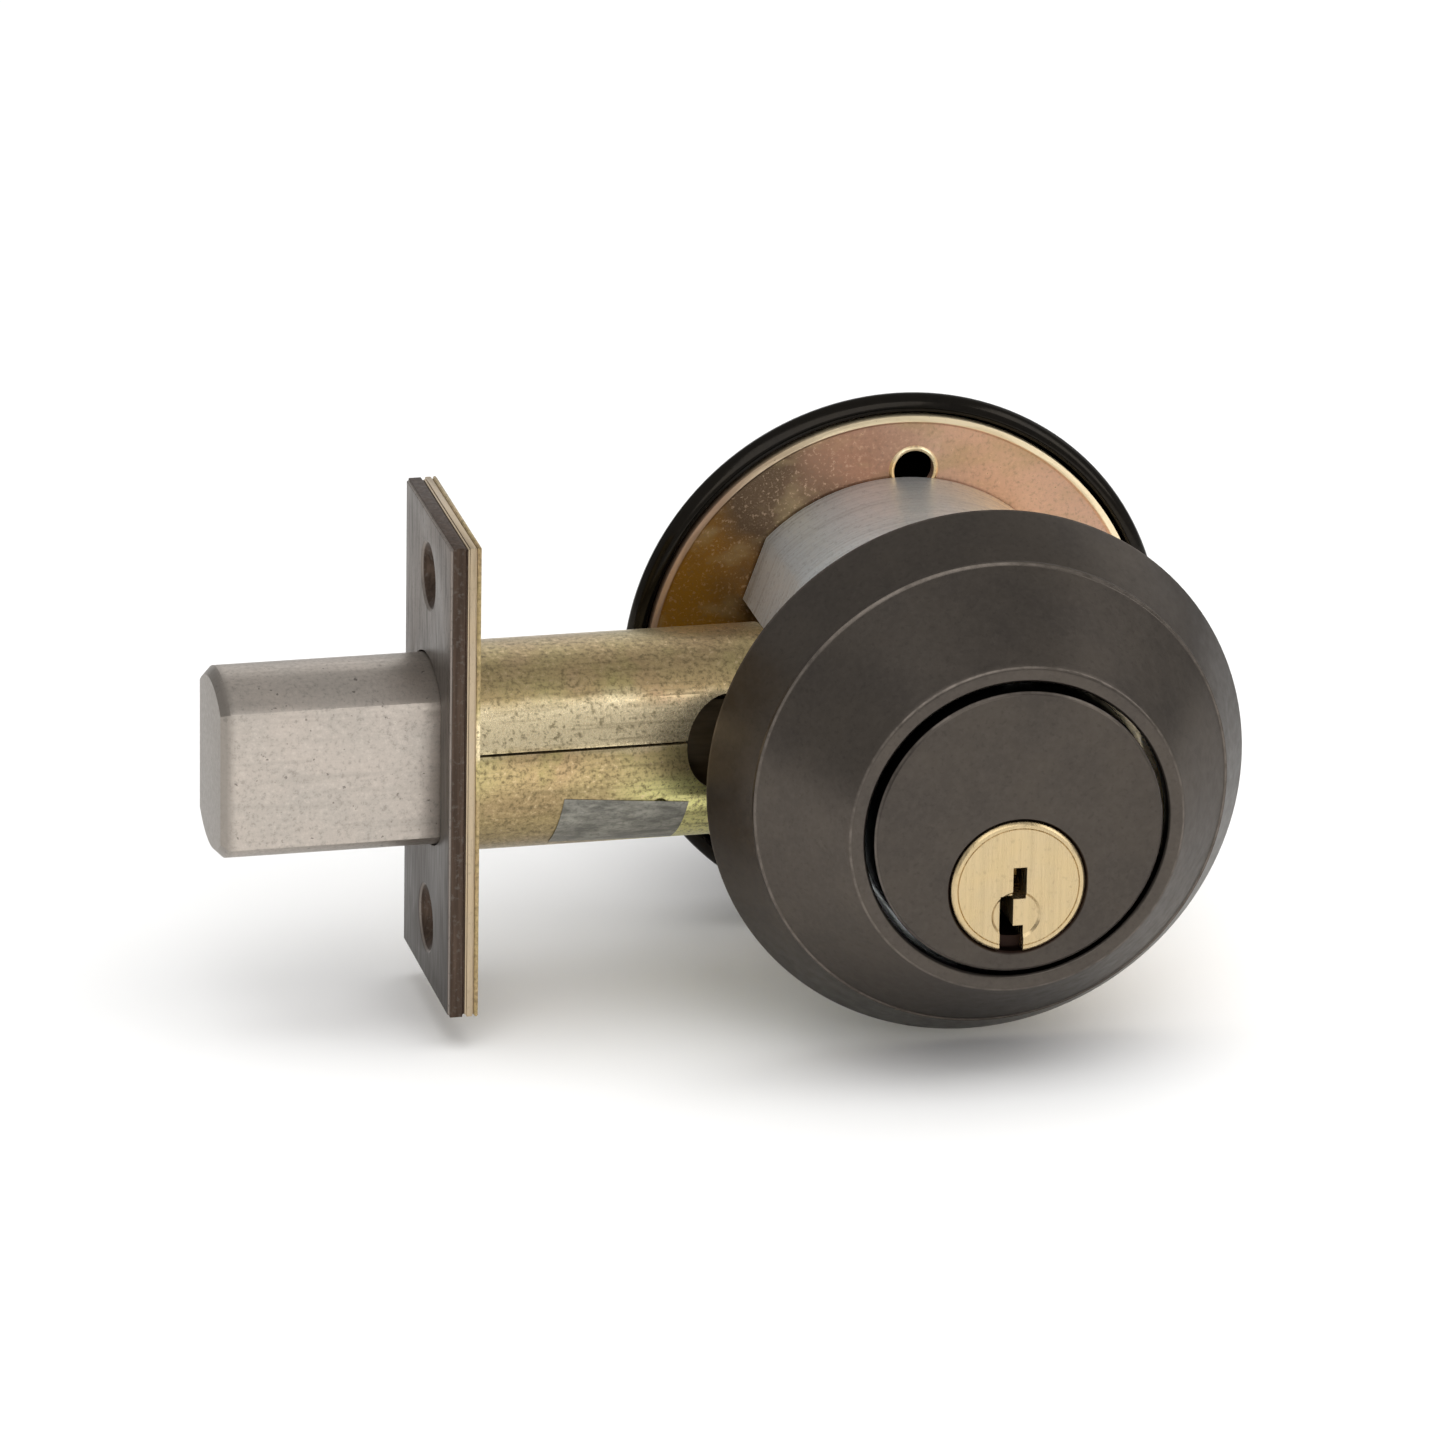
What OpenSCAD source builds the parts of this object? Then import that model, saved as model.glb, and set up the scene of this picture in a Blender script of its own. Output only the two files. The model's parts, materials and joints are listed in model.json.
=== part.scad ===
// Single-cylinder deadbolt: keyed cylinder in a tapered outside collar, round bolt case with a
// faceplate, and a thumbturn on the inside rose. Millimetres.
// The origin is where the bolt centreline crosses the lock's centre axis, at half the door's
// thickness. The bolt extends towards -X, the outdoor side faces -Y, and +Z is up.
// The lock is drawn locked, with the bolt fully out.

/* [Door] */
// Thickness of the door between the collar and the inside plate
door_thickness = 38; // [32:0.5:46]
// Distance from the door's edge to the lock's centre axis
backset = 60.3; // [58:0.1:73]

/* [Outside collar] */
// Largest diameter, at the rim that rests on the door
collar_d = 63.5; // [60:0.5:77]
// Height of the front ring above the door
collar_height = 19.6; // [19:0.2:24]
// Height of the steep band next to the door
band_height = 7.6; // [6:0.2:10]
// How far the steep band leans in
band_inset = 4; // [2:0.2:5]
// Width of the flat front ring
front_land = 1.8; // [1:0.1:3]
// Wall thickness of the collar
collar_wall = 2.2; // [1.6:0.1:2.6]

/* [Keyed cylinder] */
// Diameter of the cylinder's round face
face_d = 33.8; // [32:0.2:40.6]
// Open ring between the face and the collar
face_gap = 0.8; // [0.4:0.1:1.5]
// How far the face stands in front of the collar
face_proud = 0.9; // [0:0.1:2]
// Length of the cylinder shell
shell_length = 26.4; // [24:0.2:28]
// Diameter of the turning plug
plug_d = 12.9; // [11:0.1:15.5]
// How far the plug's head reaches past its body all round
plug_lip = 1.4; // [0.8:0.1:2]
// Thickness of the plug's head
plug_head_t = 1.8; // [1:0.1:3]
// Drop of the plug's axis below the lock's centre axis
plug_drop = 6.6; // [5:0.1:7]
// Width of the keyway's upper slot
keyway_w = 1.6; // [1:0.1:2.2]
// Number of pin stacks
pin_count = 5; // [3:1:5]
// Distance between pin stacks
pin_pitch = 3.96; // [3.6:0.02:4.1]
// Diameter of the pins
pin_d = 2.9; // [2.4:0.1:3.2]

/* [Housing] */
// Diameter of the housing's hub, which fills the door's bore
hub_d = 45.4; // [44:0.2:50]
// Wall of the hub
hub_wall = 4; // [3:0.1:4.4]
// Wall of the barrel that the collar turns on
barrel_wall = 2.5; // [2:0.1:3]
// Depth of the two flats beside the bolt case
flat_depth = 2.2; // [1:0.1:2.6]
// Tilt of those flats from upright
flat_tilt = 20; // [10:1:25]
// Reach of the side window above the bolt centreline
window_up = 8.8; // [8.8:0.1:11]
// Reach of the side window below the bolt centreline
window_down = 11; // [11:0.1:12]

/* [Deadbolt] */
// Diameter of the bolt's round sides
bolt_d = 22.2; // [18.5:0.1:24.5]
// Thickness of the bolt across its flats
bolt_flats = 14.8; // [14:0.1:16]
// Travel of the bolt
throw = 25.4; // [22:0.1:26]
// Bevel round the bolt's nose
bolt_bevel = 1; // [0.4:0.1:2]
// Diameter of the hardened roller inside the bolt
roller_d = 6.4; // [4:0.1:7]
// Length of that roller
roller_length = 27; // [15:0.5:27]
// Diameter of the pin that the crank pushes
drive_pin_d = 3; // [2.4:0.1:3.4]

/* [Bolt case] */
// Wall of the round tube
tube_wall = 0.8; // [0.6:0.1:1.4]
// Width of the faceplate
face_w = 25.4; // [25.4:0.1:32]
// Height of the faceplate
face_h = 57.15; // [55:0.05:70]
// Thickness of the faceplate
face_t = 2; // [1.5:0.1:3]
// Thickness of the backing plate
backing_t = 1.1; // [0.8:0.1:1.6]
// Thickness of the tube's flange
flange_t = 0.45; // [0.3:0.05:0.8]
// Distance between the two faceplate screw holes
screw_spacing = 42; // [41:0.1:46]
// Diameter of those holes
screw_hole_d = 4.6; // [4:0.1:5]
// Diameter of their countersinks
countersink_d = 8.3; // [7:0.1:9]
// Thickness of the two case cheeks
cheek_t = 1.2; // [1:0.1:1.3]

/* [Inside trim] */
// Diameter of the inside rose
rose_d = 65.2; // [63:0.2:78]
// Height of the rose above the door
rose_height = 11.5; // [10:0.5:14]
// Wall thickness of the rose
rose_wall = 1.6; // [1.2:0.1:1.8]
// Diameter of the mounting plate
plate_d = 60.4; // [56:0.2:61]
// Thickness of the mounting plate
plate_t = 1.5; // [1:0.1:2]
// Distance of the two mounting screws from the centre axis
mount_radius = 17.8; // [17.6:0.1:18]
// Thread diameter of the mounting screws
mount_screw_d = 4; // [3:0.1:4]
// Distance of the two open plate holes from the centre axis
spare_radius = 23.5; // [23.2:0.1:25]
// Diameter of the open plate holes
spare_hole_d = 4.8; // [3:0.1:4.9]
// Turn of the open plate holes round the centre axis, in degrees
spare_turn = 4.4; // [0:0.2:10]
// Diameter of the thumbturn's spindle
spindle_d = 8.6; // [8.4:0.1:9.4]
// Length of the thumbturn's grip
grip_length = 34; // [26:0.5:40]
// Width of the grip at its ends
grip_width = 9; // [7:0.5:12]
// How far the grip stands out from the rose
grip_height = 20; // [15:0.5:25]

/* [Hidden] */
$fn = 96;
eps = 0.01;

// Clearances
running_gap = 0.06;
bolt_gap = 0.2;
side_gap = 0.3;
axial_gap = 0.1;

// Along Y, from the outdoor face of the lock to the indoor side
half_door = door_thickness / 2;
crease_y = -half_door - band_height;
crest_y = -half_door - collar_height;
face_y = crest_y - face_proud;
shell_rear_y = face_y + shell_length;
ledge_t = 2.5;
ledge_y = shell_rear_y + ledge_t;
barrel_front_y = crest_y + 6.1;
guard_front_y = barrel_front_y + 2.9;
washer_t = 1.2;
guard_rear_y = -half_door - washer_t;
clip_ring_t = 0.9;
clip_ring_reach = 1.5;
clip_ring_y = guard_front_y - axial_gap - clip_ring_t;
plug_proud = 0.2;
plug_front_y = face_y - plug_proud;
plug_rear_y = shell_rear_y + axial_gap;
cap_t = 1.8;
plate_rear_y = half_door + plate_t;
rose_front_y = half_door + rose_height;

// Radii about the lock's centre axis
collar_r = collar_d / 2;
crease_r = collar_r - band_inset;
shell_r = face_d / 2;
opening_r = shell_r + face_gap;
crest_r = opening_r + front_land;
seat_r = shell_r + running_gap;
barrel_r = seat_r + barrel_wall;
washer_reach = 2.84;
washer_r = barrel_r + washer_reach;
hub_r = hub_d / 2;
hub_bore_r = hub_r - hub_wall;
flat_reach = hub_r - flat_depth;
rose_r = rose_d / 2;

// Plug, pins and tail
plug_r = plug_d / 2;
plug_head_r = plug_r + plug_lip;
plug_bore_r = plug_r + running_gap;
pin_r = pin_d / 2;
chamber_r = pin_r + running_gap;
chamber_roof_t = 3.2;
chamber_top = shell_r - chamber_roof_t;
shear_in = chord(plug_r, pin_r) - 0.02;
shear_out = plug_bore_r + 0.02;
driver_length = 4.2;
key_pin_lengths = [5.2, 6.4, 4.8, 5.8, 4.4];
first_pin_y = face_y + 5.6;
last_pin_y = first_pin_y + (pin_count - 1) * pin_pitch;
cylinder_screw_x = 11;
cylinder_screw_z = 4;
cap_screw_z = 4.3;
tail_w = 5.6;
tail_t = 1.8;
tail_seat = 3;
tail_end_y = half_door - 4;

// Half the chord of a circle of radius r, at height h from its centre
function chord(r, h) = sqrt(r * r - h * h);

// Bolt, crank and case
bolt_r = bolt_d / 2;
tube_bore_r = bolt_r + bolt_gap;
tube_r = tube_bore_r + tube_wall;
tube_front_x = -backset + face_t + backing_t;
tube_end_x = -flat_reach - side_gap;
bolt_front_x = -backset - throw;
bolt_rest_x = tube_end_x + 0.5;
bolt_rear_x = bolt_rest_x - throw;
roller_r = roller_d / 2;
roller_bore_r = roller_r + running_gap;
crank_r = throw / 2;
drive_pin_r = drive_pin_d / 2;
drive_x = -throw / 2;
drive_z = crank_r - plug_drop;
roller_x = bolt_front_x + 5;
roller_end_x = roller_x + roller_length;
tail_grip = 4.5;
tail_rivet_r = 1.1;
tail_rivet_reach = min(bolt_flats / 2, chord(bolt_r, drive_z + tail_rivet_r));
crank_half_t = 2.6;
slot_lag = 0.081 * crank_r;
fork_slot_r = drive_pin_r + slot_lag + 0.15;
fork_half = fork_slot_r + 1.8;
fork_reach = crank_r * sqrt(2) + 1.1;
journal_r = 3.9;
tail_bar_y = crank_half_t + 0.6;
tail_bar_t = 2;
tail_bar_h = min(3.6, 2 * (chord(tube_bore_r, tail_bar_y + tail_bar_t) - bolt_gap - drive_z));
tail_boss_r = drive_pin_r + 1.5;
case_in_y = tail_bar_y + tail_bar_t + 0.4;
case_out_y = case_in_y + cheek_t;
cheek_in_y = bolt_flats / 2 + side_gap;
cheek_out_y = cheek_in_y + cheek_t;
cheek_grip_z = chord(tube_bore_r, cheek_out_y) - 0.05;
cheek_top = 8.4;
cheek_bottom = -10.5;
cheek_end_x = 11.5;
cheek_length = 17;
cheek_rivet_setback = 14.5;
cheek_front_x = tube_end_x - cheek_length;
cheek_rivet_x = tube_end_x - cheek_rivet_setback;
cheek_rivet_z = 2.3 - cheek_grip_z;
cheek_rivet_r = 0.9;
post_x = 8.8;
post_z = -8.4;
post_r = 1.1;
recess_length = 11.5;
recess_half = 5.8;
recess_z = 2;
seam_w = 0.3;
sink_depth = min((countersink_d - screw_hole_d) / 2, face_t - 0.4);

// Inside trim
spindle_r = spindle_d / 2;
bushing_r = spindle_r + 1.9;
spindle_start_y = case_out_y + 0.8;
clip_groove_r = spindle_r - 0.8;
clip_t = 0.8;
clip_y = half_door - 1.5;
mount_screw_end_y = 6.4;
screw_head_r = 3.5;
grip_base_t = 3;
grip_y = rose_front_y + side_gap;
grip_top_y = grip_y + grip_height;
grip_foot_r = bushing_r + 2.4;
grip_boss_r = spindle_r + 1.8;
socket_depth = 10;
socket_end_y = grip_y + socket_depth;
grip_pin_height = 6;
grip_pin_y = grip_y + grip_pin_height;
grip_pin_r = 1;
set_screw_r = 1.5;
set_screw_y = half_door + 3.2;
set_screw_r_out = rose_r - 1.2;
tab_out_r = plate_d / 2 - 3.4;
tab_in_r = tab_out_r - 2;
tab_top_y = set_screw_y + set_screw_r + 0.5;

// Inner radius of the collar at a given Y, on straight lines between its three inner corners
crest_in_r = crest_r - 0.5;
crest_in_y = crest_y + collar_wall;
function between(y, y0, r0, y1, r1) = r0 + (r1 - r0) * (y - y0) / (y1 - y0);
function collar_in_r(y) = y > crease_y
    ? between(y, crease_y, crease_r - collar_wall, -half_door, collar_r - collar_wall)
    : between(y, crease_y, crease_r - collar_wall, crest_in_y, crest_in_r);
clip_ring_r = min(barrel_r + clip_ring_reach, collar_in_r(clip_ring_y) - 3 * running_gap);

// Placing helpers: a solid of revolution about Y or X, a slab across Y, and rods
module turned() rotate([-90, 0, 0]) rotate_extrude() children();
module turned_x() rotate([0, 90, 0]) rotate_extrude() children();
module slab(y0, y1) translate([0, y1, 0]) rotate([90, 0, 0]) linear_extrude(y1 - y0) children();
module rod_y(r, y0, y1) translate([0, y0, 0]) rotate([-90, 0, 0]) cylinder(h = y1 - y0, r = r);
module rod_x(r, x0, x1) translate([x0, 0, 0]) rotate([0, 90, 0]) cylinder(h = x1 - x0, r = r);
module block(x0, x1, y0, y1, z0, z1) translate([x0, y0, z0]) cube([x1 - x0, y1 - y0, z1 - z0]);
module on_plug_axis() translate([0, 0, -plug_drop]) children();

module outside_collar() color("#48423e") turned() polygon([
    [collar_r - collar_wall, -half_door], [collar_r - 0.3, -half_door],
    [collar_r, -half_door - 0.3], [crease_r + 0.1, crease_y + 0.2],
    [crease_r - 0.25, crease_y - 0.15], [crest_r + 0.15, crest_y + 0.2],
    [crest_r - 0.1, crest_y], [opening_r + 0.2, crest_y], [opening_r, crest_y + 0.2],
    [opening_r, crest_in_y], [crest_in_r, crest_in_y], [crease_r - collar_wall, crease_y]]);

module guard_ring() color("#8d8f92") turned() polygon([
    [barrel_r + running_gap, guard_rear_y], [collar_in_r(guard_rear_y), guard_rear_y],
    [collar_in_r(crease_y), crease_y], [collar_in_r(guard_front_y), guard_front_y],
    [barrel_r + running_gap, guard_front_y]]);

module collar_washer() color("#e6e2d6") turned() polygon([
    [barrel_r + running_gap, -half_door], [washer_r, -half_door],
    [washer_r, guard_rear_y + axial_gap], [barrel_r + running_gap, guard_rear_y + axial_gap]]);

module collar_retaining_ring() color("#55585c") difference() {
    rod_y(clip_ring_r, clip_ring_y, clip_ring_y + clip_ring_t);
    rod_y(barrel_r - 0.9, barrel_front_y, guard_front_y);
    block(barrel_r - 3, barrel_r + 3, barrel_front_y, guard_front_y, -2.5, 2.5);
}

module hub_outline() intersection() {
    circle(r = hub_r);
    rotate(-flat_tilt) translate([-flat_reach, -hub_d]) square(2 * hub_d);
    rotate(flat_tilt) translate([-flat_reach, -hub_d]) square(2 * hub_d);
}

module cylinder_housing() color("#a7adb0") difference() {
    union() {
        slab(-half_door, half_door) hub_outline();
        turned() polygon([[barrel_r, barrel_front_y], [barrel_r, -half_door],
            [hub_r + 0.7, -half_door], [hub_r + 0.7, -half_door + 2.4],
            [hub_r + 0.35, -half_door + 2.8], [hub_r + 0.35, -half_door + 4],
            [hub_r - 1, -half_door + 4.4], [0, -half_door + 4.4], [0, barrel_front_y]]);
    }
    rod_y(seat_r, barrel_front_y - 1, shell_rear_y);
    on_plug_axis() rod_y(plug_r + 2, shell_rear_y - 1, ledge_y + 1);
    difference() {
        rod_y(hub_bore_r, ledge_y, half_door + 1);
        for (side = [-1, 1]) translate([0, 0, side * mount_radius])
            rod_y(mount_screw_d / 2 + 1.6, mount_screw_end_y - 0.6, half_door + 2);
    }
    for (side = [-1, 1]) translate([0, 0, side * mount_radius])
        rod_y(mount_screw_d / 2, mount_screw_end_y, half_door + 1);
    for (side = [-1, 1]) translate([side * cylinder_screw_x, 0, cylinder_screw_z])
        rod_y(1.5, shell_rear_y - 1, ledge_y + 1);
    block(-hub_d, -12, -tube_r - side_gap, half_door + 1, -window_down, window_up);
    difference() {
        rod_y(barrel_r + 1, clip_ring_y, clip_ring_y + clip_ring_t);
        rod_y(barrel_r - 0.9, barrel_front_y, guard_front_y);
    }
}

module cylinder_shell() color("#48423e") difference() {
    turned() polygon([[0, face_y], [shell_r - 0.4, face_y], [shell_r, face_y + 0.4],
        [shell_r, shell_rear_y], [0, shell_rear_y]]);
    on_plug_axis() {
        rod_y(plug_bore_r, face_y - 1, shell_rear_y + 1);
        rod_y(plug_head_r + running_gap, face_y - 1, plug_front_y + plug_head_t + axial_gap);
        turned() polygon([[0, face_y - eps], [plug_head_r + 0.4, face_y - eps],
            [plug_head_r + running_gap, face_y + 0.35], [0, face_y + 0.35]]);
    }
    pin_stacks() translate([0, 0, -plug_drop]) cylinder(h = plug_drop + shell_r + 1, r = chamber_r);
    block(-chamber_r - 0.6, chamber_r + 0.6, first_pin_y - 2.4, last_pin_y + 2.4,
        chamber_top, shell_r + 1);
    for (side = [-1, 1]) translate([side * cylinder_screw_x, 0, cylinder_screw_z])
        rod_y(1.5, shell_rear_y - 9, shell_rear_y + 1);
}

module pin_stacks() for (i = [0:pin_count - 1])
    translate([0, first_pin_y + i * pin_pitch, 0]) children();

module cylinder_screws() color("#b9a45a") for (side = [-1, 1])
    translate([side * cylinder_screw_x, 0, cylinder_screw_z]) difference() {
        union() {
            rod_y(1.5, shell_rear_y - 8, ledge_y);
            rod_y(2.6, ledge_y, ledge_y + 1.5);
        }
        slab(ledge_y + 0.7, ledge_y + 2) square([0.8, 6], center = true);
    }

module driver_pins() color("#c9a74e") pin_stacks()
    translate([0, 0, shear_out - plug_drop]) cylinder(h = driver_length, r = pin_r);

module pin_springs() color("#b8bcc0") pin_stacks()
    translate([0, 0, shear_out - plug_drop + driver_length]) difference() {
        cylinder(h = chamber_top + plug_drop - shear_out - driver_length, r = pin_r - 0.1);
        translate([0, 0, -1]) cylinder(h = 2 * shell_r, r = pin_r - 0.5);
    }

module spring_cover() color("#b08d3f") block(-chamber_r - 0.55, chamber_r + 0.55,
    first_pin_y - 2.35, last_pin_y + 2.35, chamber_top, chamber_top + 1);

module keyway_outline() {
    translate([-keyway_w / 2 + 0.15, -1.5]) square([keyway_w, 3.9]);
    translate([-2.1, -4.9]) square([keyway_w, 3.9]);
    translate([-2.1, -plug_head_r - 1]) square([2.8, plug_head_r - 3.7]);
}

module plug() color("#d7be8c") on_plug_axis() difference() {
    union() {
        turned() polygon([[0, plug_front_y], [plug_head_r - 0.3, plug_front_y],
            [plug_head_r, plug_front_y + 0.3], [plug_head_r, plug_front_y + plug_head_t],
            [0, plug_front_y + plug_head_t]]);
        rod_y(plug_r, plug_front_y + plug_head_t, plug_rear_y);
    }
    slab(plug_front_y - 1, plug_rear_y - tail_seat - 1.5) keyway_outline();
    pin_stacks() translate([0, 0, -1]) cylinder(h = plug_r + 2, r = chamber_r);
    block(-tail_w / 2, tail_w / 2, plug_rear_y - tail_seat, plug_rear_y + 1, -tail_t / 2, tail_t / 2);
    for (side = [-1, 1]) translate([0, 0, side * cap_screw_z]) rod_y(0.9, plug_rear_y - 3.6, plug_rear_y + 1);
}

module key_pins() color("#c9a74e") on_plug_axis() for (i = [0:pin_count - 1])
    translate([0, first_pin_y + i * pin_pitch, shear_in - key_pin_lengths[i]])
        cylinder(h = key_pin_lengths[i], r = pin_r);

module plug_cap() color("#c9c4b4") on_plug_axis() difference() {
    rod_y(plug_r + 1.1, plug_rear_y, plug_rear_y + cap_t);
    block(-tail_w / 2, tail_w / 2, plug_rear_y - 1, plug_rear_y + cap_t + 1, -tail_t / 2, tail_t / 2);
    for (side = [-1, 1]) translate([0, 0, side * cap_screw_z])
        rod_y(0.9, plug_rear_y - 1, plug_rear_y + cap_t + 1);
}

module cap_screws() color("#8f9296") on_plug_axis() for (side = [-1, 1])
    translate([0, 0, side * cap_screw_z]) difference() {
        union() {
            rod_y(0.9, plug_rear_y - 3.4, plug_rear_y + cap_t);
            rod_y(1.6, plug_rear_y + cap_t, plug_rear_y + cap_t + 0.8);
        }
        slab(plug_rear_y + cap_t + 0.4, plug_rear_y + cap_t + 1) square([4, 0.5], center = true);
    }

module tailpiece() color("#bdb06a") on_plug_axis() block(-tail_w / 2, tail_w / 2,
    plug_rear_y - tail_seat, tail_end_y, -tail_t / 2, tail_t / 2);

// A faceplate blank of thickness t, centred on X, with a small step round its edges
module plate_prism(t, bevel) union() {
    block(-t / 2 + bevel, t / 2 - bevel, -face_w / 2, face_w / 2, -face_h / 2, face_h / 2);
    block(-t / 2, t / 2, -face_w / 2 + bevel, face_w / 2 - bevel, -face_h / 2 + bevel, face_h / 2 - bevel);
}
module screw_holes() for (side = [-1, 1]) translate([0, 0, side * screw_spacing / 2]) children();
module bolt_hole(x0, x1) intersection() {
    rod_x(tube_bore_r, x0, x1);
    block(x0, x1, -bolt_flats / 2 - bolt_gap, bolt_flats / 2 + bolt_gap, -bolt_d, bolt_d);
}

module faceplate() color("#7d7570") difference() {
    translate([-backset + face_t / 2, 0, 0]) plate_prism(face_t, 0.25);
    bolt_hole(-backset - 1, -backset + face_t + 1);
    screw_holes() {
        rod_x(screw_hole_d / 2, -backset - 1, -backset + face_t + 1);
        translate([-backset, 0, 0]) rotate([0, 90, 0]) translate([0, 0, -eps])
            cylinder(h = sink_depth, r1 = countersink_d / 2, r2 = screw_hole_d / 2);
    }
}

module backing_plate() color("#b9a587") difference() {
    translate([-backset + face_t + backing_t / 2, 0, 0]) plate_prism(backing_t, 0.2);
    bolt_hole(-backset, -backset + 6);
    screw_holes() rod_x(screw_hole_d / 2, -backset, -backset + 6);
}

module bolt_tube() color("#af9660") difference() {
    union() {
        rod_x(tube_r, tube_front_x, tube_end_x);
        translate([tube_front_x + flange_t / 2, 0, 0]) plate_prism(flange_t, 0.1);
    }
    rod_x(tube_bore_r, tube_front_x - 1, tube_end_x + 1);
    screw_holes() rod_x(screw_hole_d / 2, tube_front_x - 1, tube_front_x + 2);
    block(tube_front_x + flange_t, tube_end_x, -tube_r - 1, 0, recess_z + 0.8, recess_z + 0.8 + seam_w);
    slab(-tube_r - 1, tube_r + 1) translate([tube_end_x - recess_length, recess_z]) {
        translate([recess_half, 0]) circle(r = recess_half);
        translate([recess_half, -recess_half]) square([recess_length, 2 * recess_half]);
    }
    for (side = [-1, 1]) translate([cheek_rivet_x, 0, cheek_rivet_z])
        rod_y(cheek_rivet_r, side > 0 ? 1 : -tube_r - 1, side > 0 ? tube_r + 1 : -1);
}

module foil_label() color("#b9b6a8") rotate([0, 90, 0]) rotate([0, 0, -76])
    rotate_extrude(angle = 36) translate([tube_r, tube_end_x - 27.4]) square([0.1, 17]);

module cheek() difference() {
    intersection() {
        translate([0, 0, cheek_bottom]) linear_extrude(cheek_top - cheek_bottom) polygon([
            [cheek_front_x, -cheek_in_y], [tube_end_x + 0.9, -cheek_in_y],
            [tube_end_x + 3, -case_in_y], [cheek_end_x, -case_in_y],
            [cheek_end_x, -case_out_y], [tube_end_x + 2.6, -case_out_y],
            [tube_end_x + 0.5, -cheek_out_y], [cheek_front_x, -cheek_out_y]]);
        slab(-bolt_d, 0) union() {
            translate([cheek_front_x, -cheek_grip_z])
                square([tube_end_x + 0.6 - cheek_front_x, 2 * cheek_grip_z]);
            translate([tube_end_x + 0.5, cheek_bottom])
                square([cheek_end_x - tube_end_x - 0.5, cheek_top - cheek_bottom]);
        }
    }
    on_plug_axis() rod_y(journal_r + running_gap, -bolt_d, 0);
    for (side = [-1, 1]) translate([side * post_x, 0, post_z]) rod_y(post_r, -bolt_d, 0);
    translate([cheek_rivet_x, 0, cheek_rivet_z]) rod_y(cheek_rivet_r, -bolt_d, 0);
}
module outer_cheek() color("#b39a63") cheek();
module inner_cheek() color("#b39a63") mirror([0, 1, 0]) cheek();

module case_posts() color("#9a9da0") for (side = [-1, 1])
    translate([side * post_x, 0, post_z]) {
        rod_y(post_r, -case_out_y, case_out_y);
        rod_y(post_r + 0.7, -case_in_y, case_in_y);
    }

module cheek_rivets() color("#b39a63") for (side = [-1, 1]) mirror([0, side > 0 ? 1 : 0, 0])
    translate([cheek_rivet_x, 0, cheek_rivet_z])
        rod_y(cheek_rivet_r, -chord(tube_r, cheek_rivet_z - cheek_rivet_r), -cheek_in_y);

module deadbolt() color("#b9b0a8") difference() {
    intersection() {
        turned_x() polygon([[0, bolt_front_x], [bolt_r - bolt_bevel, bolt_front_x],
            [bolt_r, bolt_front_x + bolt_bevel], [bolt_r, bolt_rear_x], [0, bolt_rear_x]]);
        linear_extrude(2 * bolt_d, center = true) polygon([
            [bolt_front_x, -bolt_flats / 2 + bolt_bevel], [bolt_front_x + bolt_bevel, -bolt_flats / 2],
            [bolt_rear_x, -bolt_flats / 2], [bolt_rear_x, bolt_flats / 2],
            [bolt_front_x + bolt_bevel, bolt_flats / 2], [bolt_front_x, bolt_flats / 2 - bolt_bevel]]);
    }
    rod_x(roller_bore_r, roller_x - axial_gap, bolt_rear_x + 1);
    block(bolt_rear_x - tail_grip, bolt_rear_x + 1, tail_bar_y, tail_bar_y + tail_bar_t,
        drive_z - tail_bar_h / 2, drive_z + tail_bar_h / 2);
    translate([bolt_rear_x - tail_grip / 2, 0, drive_z]) rod_y(tail_rivet_r, -bolt_d, bolt_d);
}

module anti_saw_roller() color("#9b9fa3") turned_x() polygon([
    [0, roller_x], [roller_r - 0.5, roller_x], [roller_r, roller_x + 0.5],
    [roller_r, roller_end_x - 0.5], [roller_r - 0.5, roller_end_x], [0, roller_end_x]]);

module roller_stop() color("#7d8084") rod_x(roller_bore_r, roller_end_x + axial_gap, bolt_rear_x);

module bolt_tail() color("#a3a6a9") difference() {
    union() {
        block(bolt_rear_x - tail_grip, drive_x, tail_bar_y, tail_bar_y + tail_bar_t,
            drive_z - tail_bar_h / 2, drive_z + tail_bar_h / 2);
        translate([drive_x, 0, drive_z]) rod_y(tail_boss_r, tail_bar_y, tail_bar_y + tail_bar_t);
    }
    translate([drive_x, 0, drive_z]) rod_y(drive_pin_r, 0, bolt_d);
    translate([bolt_rear_x - tail_grip / 2, 0, drive_z]) rod_y(tail_rivet_r, 0, bolt_d);
}

module tail_rivet() color("#8b8e91") translate([bolt_rear_x - tail_grip / 2, 0, drive_z])
    rod_y(tail_rivet_r, -tail_rivet_reach, tail_rivet_reach);

module drive_pin() color("#8b8e91") translate([drive_x, 0, drive_z])
    rod_y(drive_pin_r, -crank_half_t - 0.5, tail_bar_y + tail_bar_t);

module crank() color("#8f8a78") on_plug_axis() rotate([0, -45, 0]) difference() {
    union() {
        rod_y(journal_r, -case_out_y - 0.2, case_out_y + 0.2);
        slab(-crank_half_t, crank_half_t) {
            circle(r = journal_r + 1.4);
            translate([-fork_half, 0]) square([2 * fork_half, fork_reach]);
        }
    }
    slab(-crank_half_t - 1, crank_half_t + 1)
        translate([0, crank_r - drive_pin_r - 0.5 + fork_slot_r]) {
            circle(r = fork_slot_r);
            translate([-fork_slot_r, 0]) square([2 * fork_slot_r, fork_reach]);
        }
    rotate([0, 45, 0]) block(-tail_w / 2 - 0.15, tail_w / 2 + 0.15, -bolt_d, bolt_d,
        -tail_t / 2 - 0.15, tail_t / 2 + 0.15);
}

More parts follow.
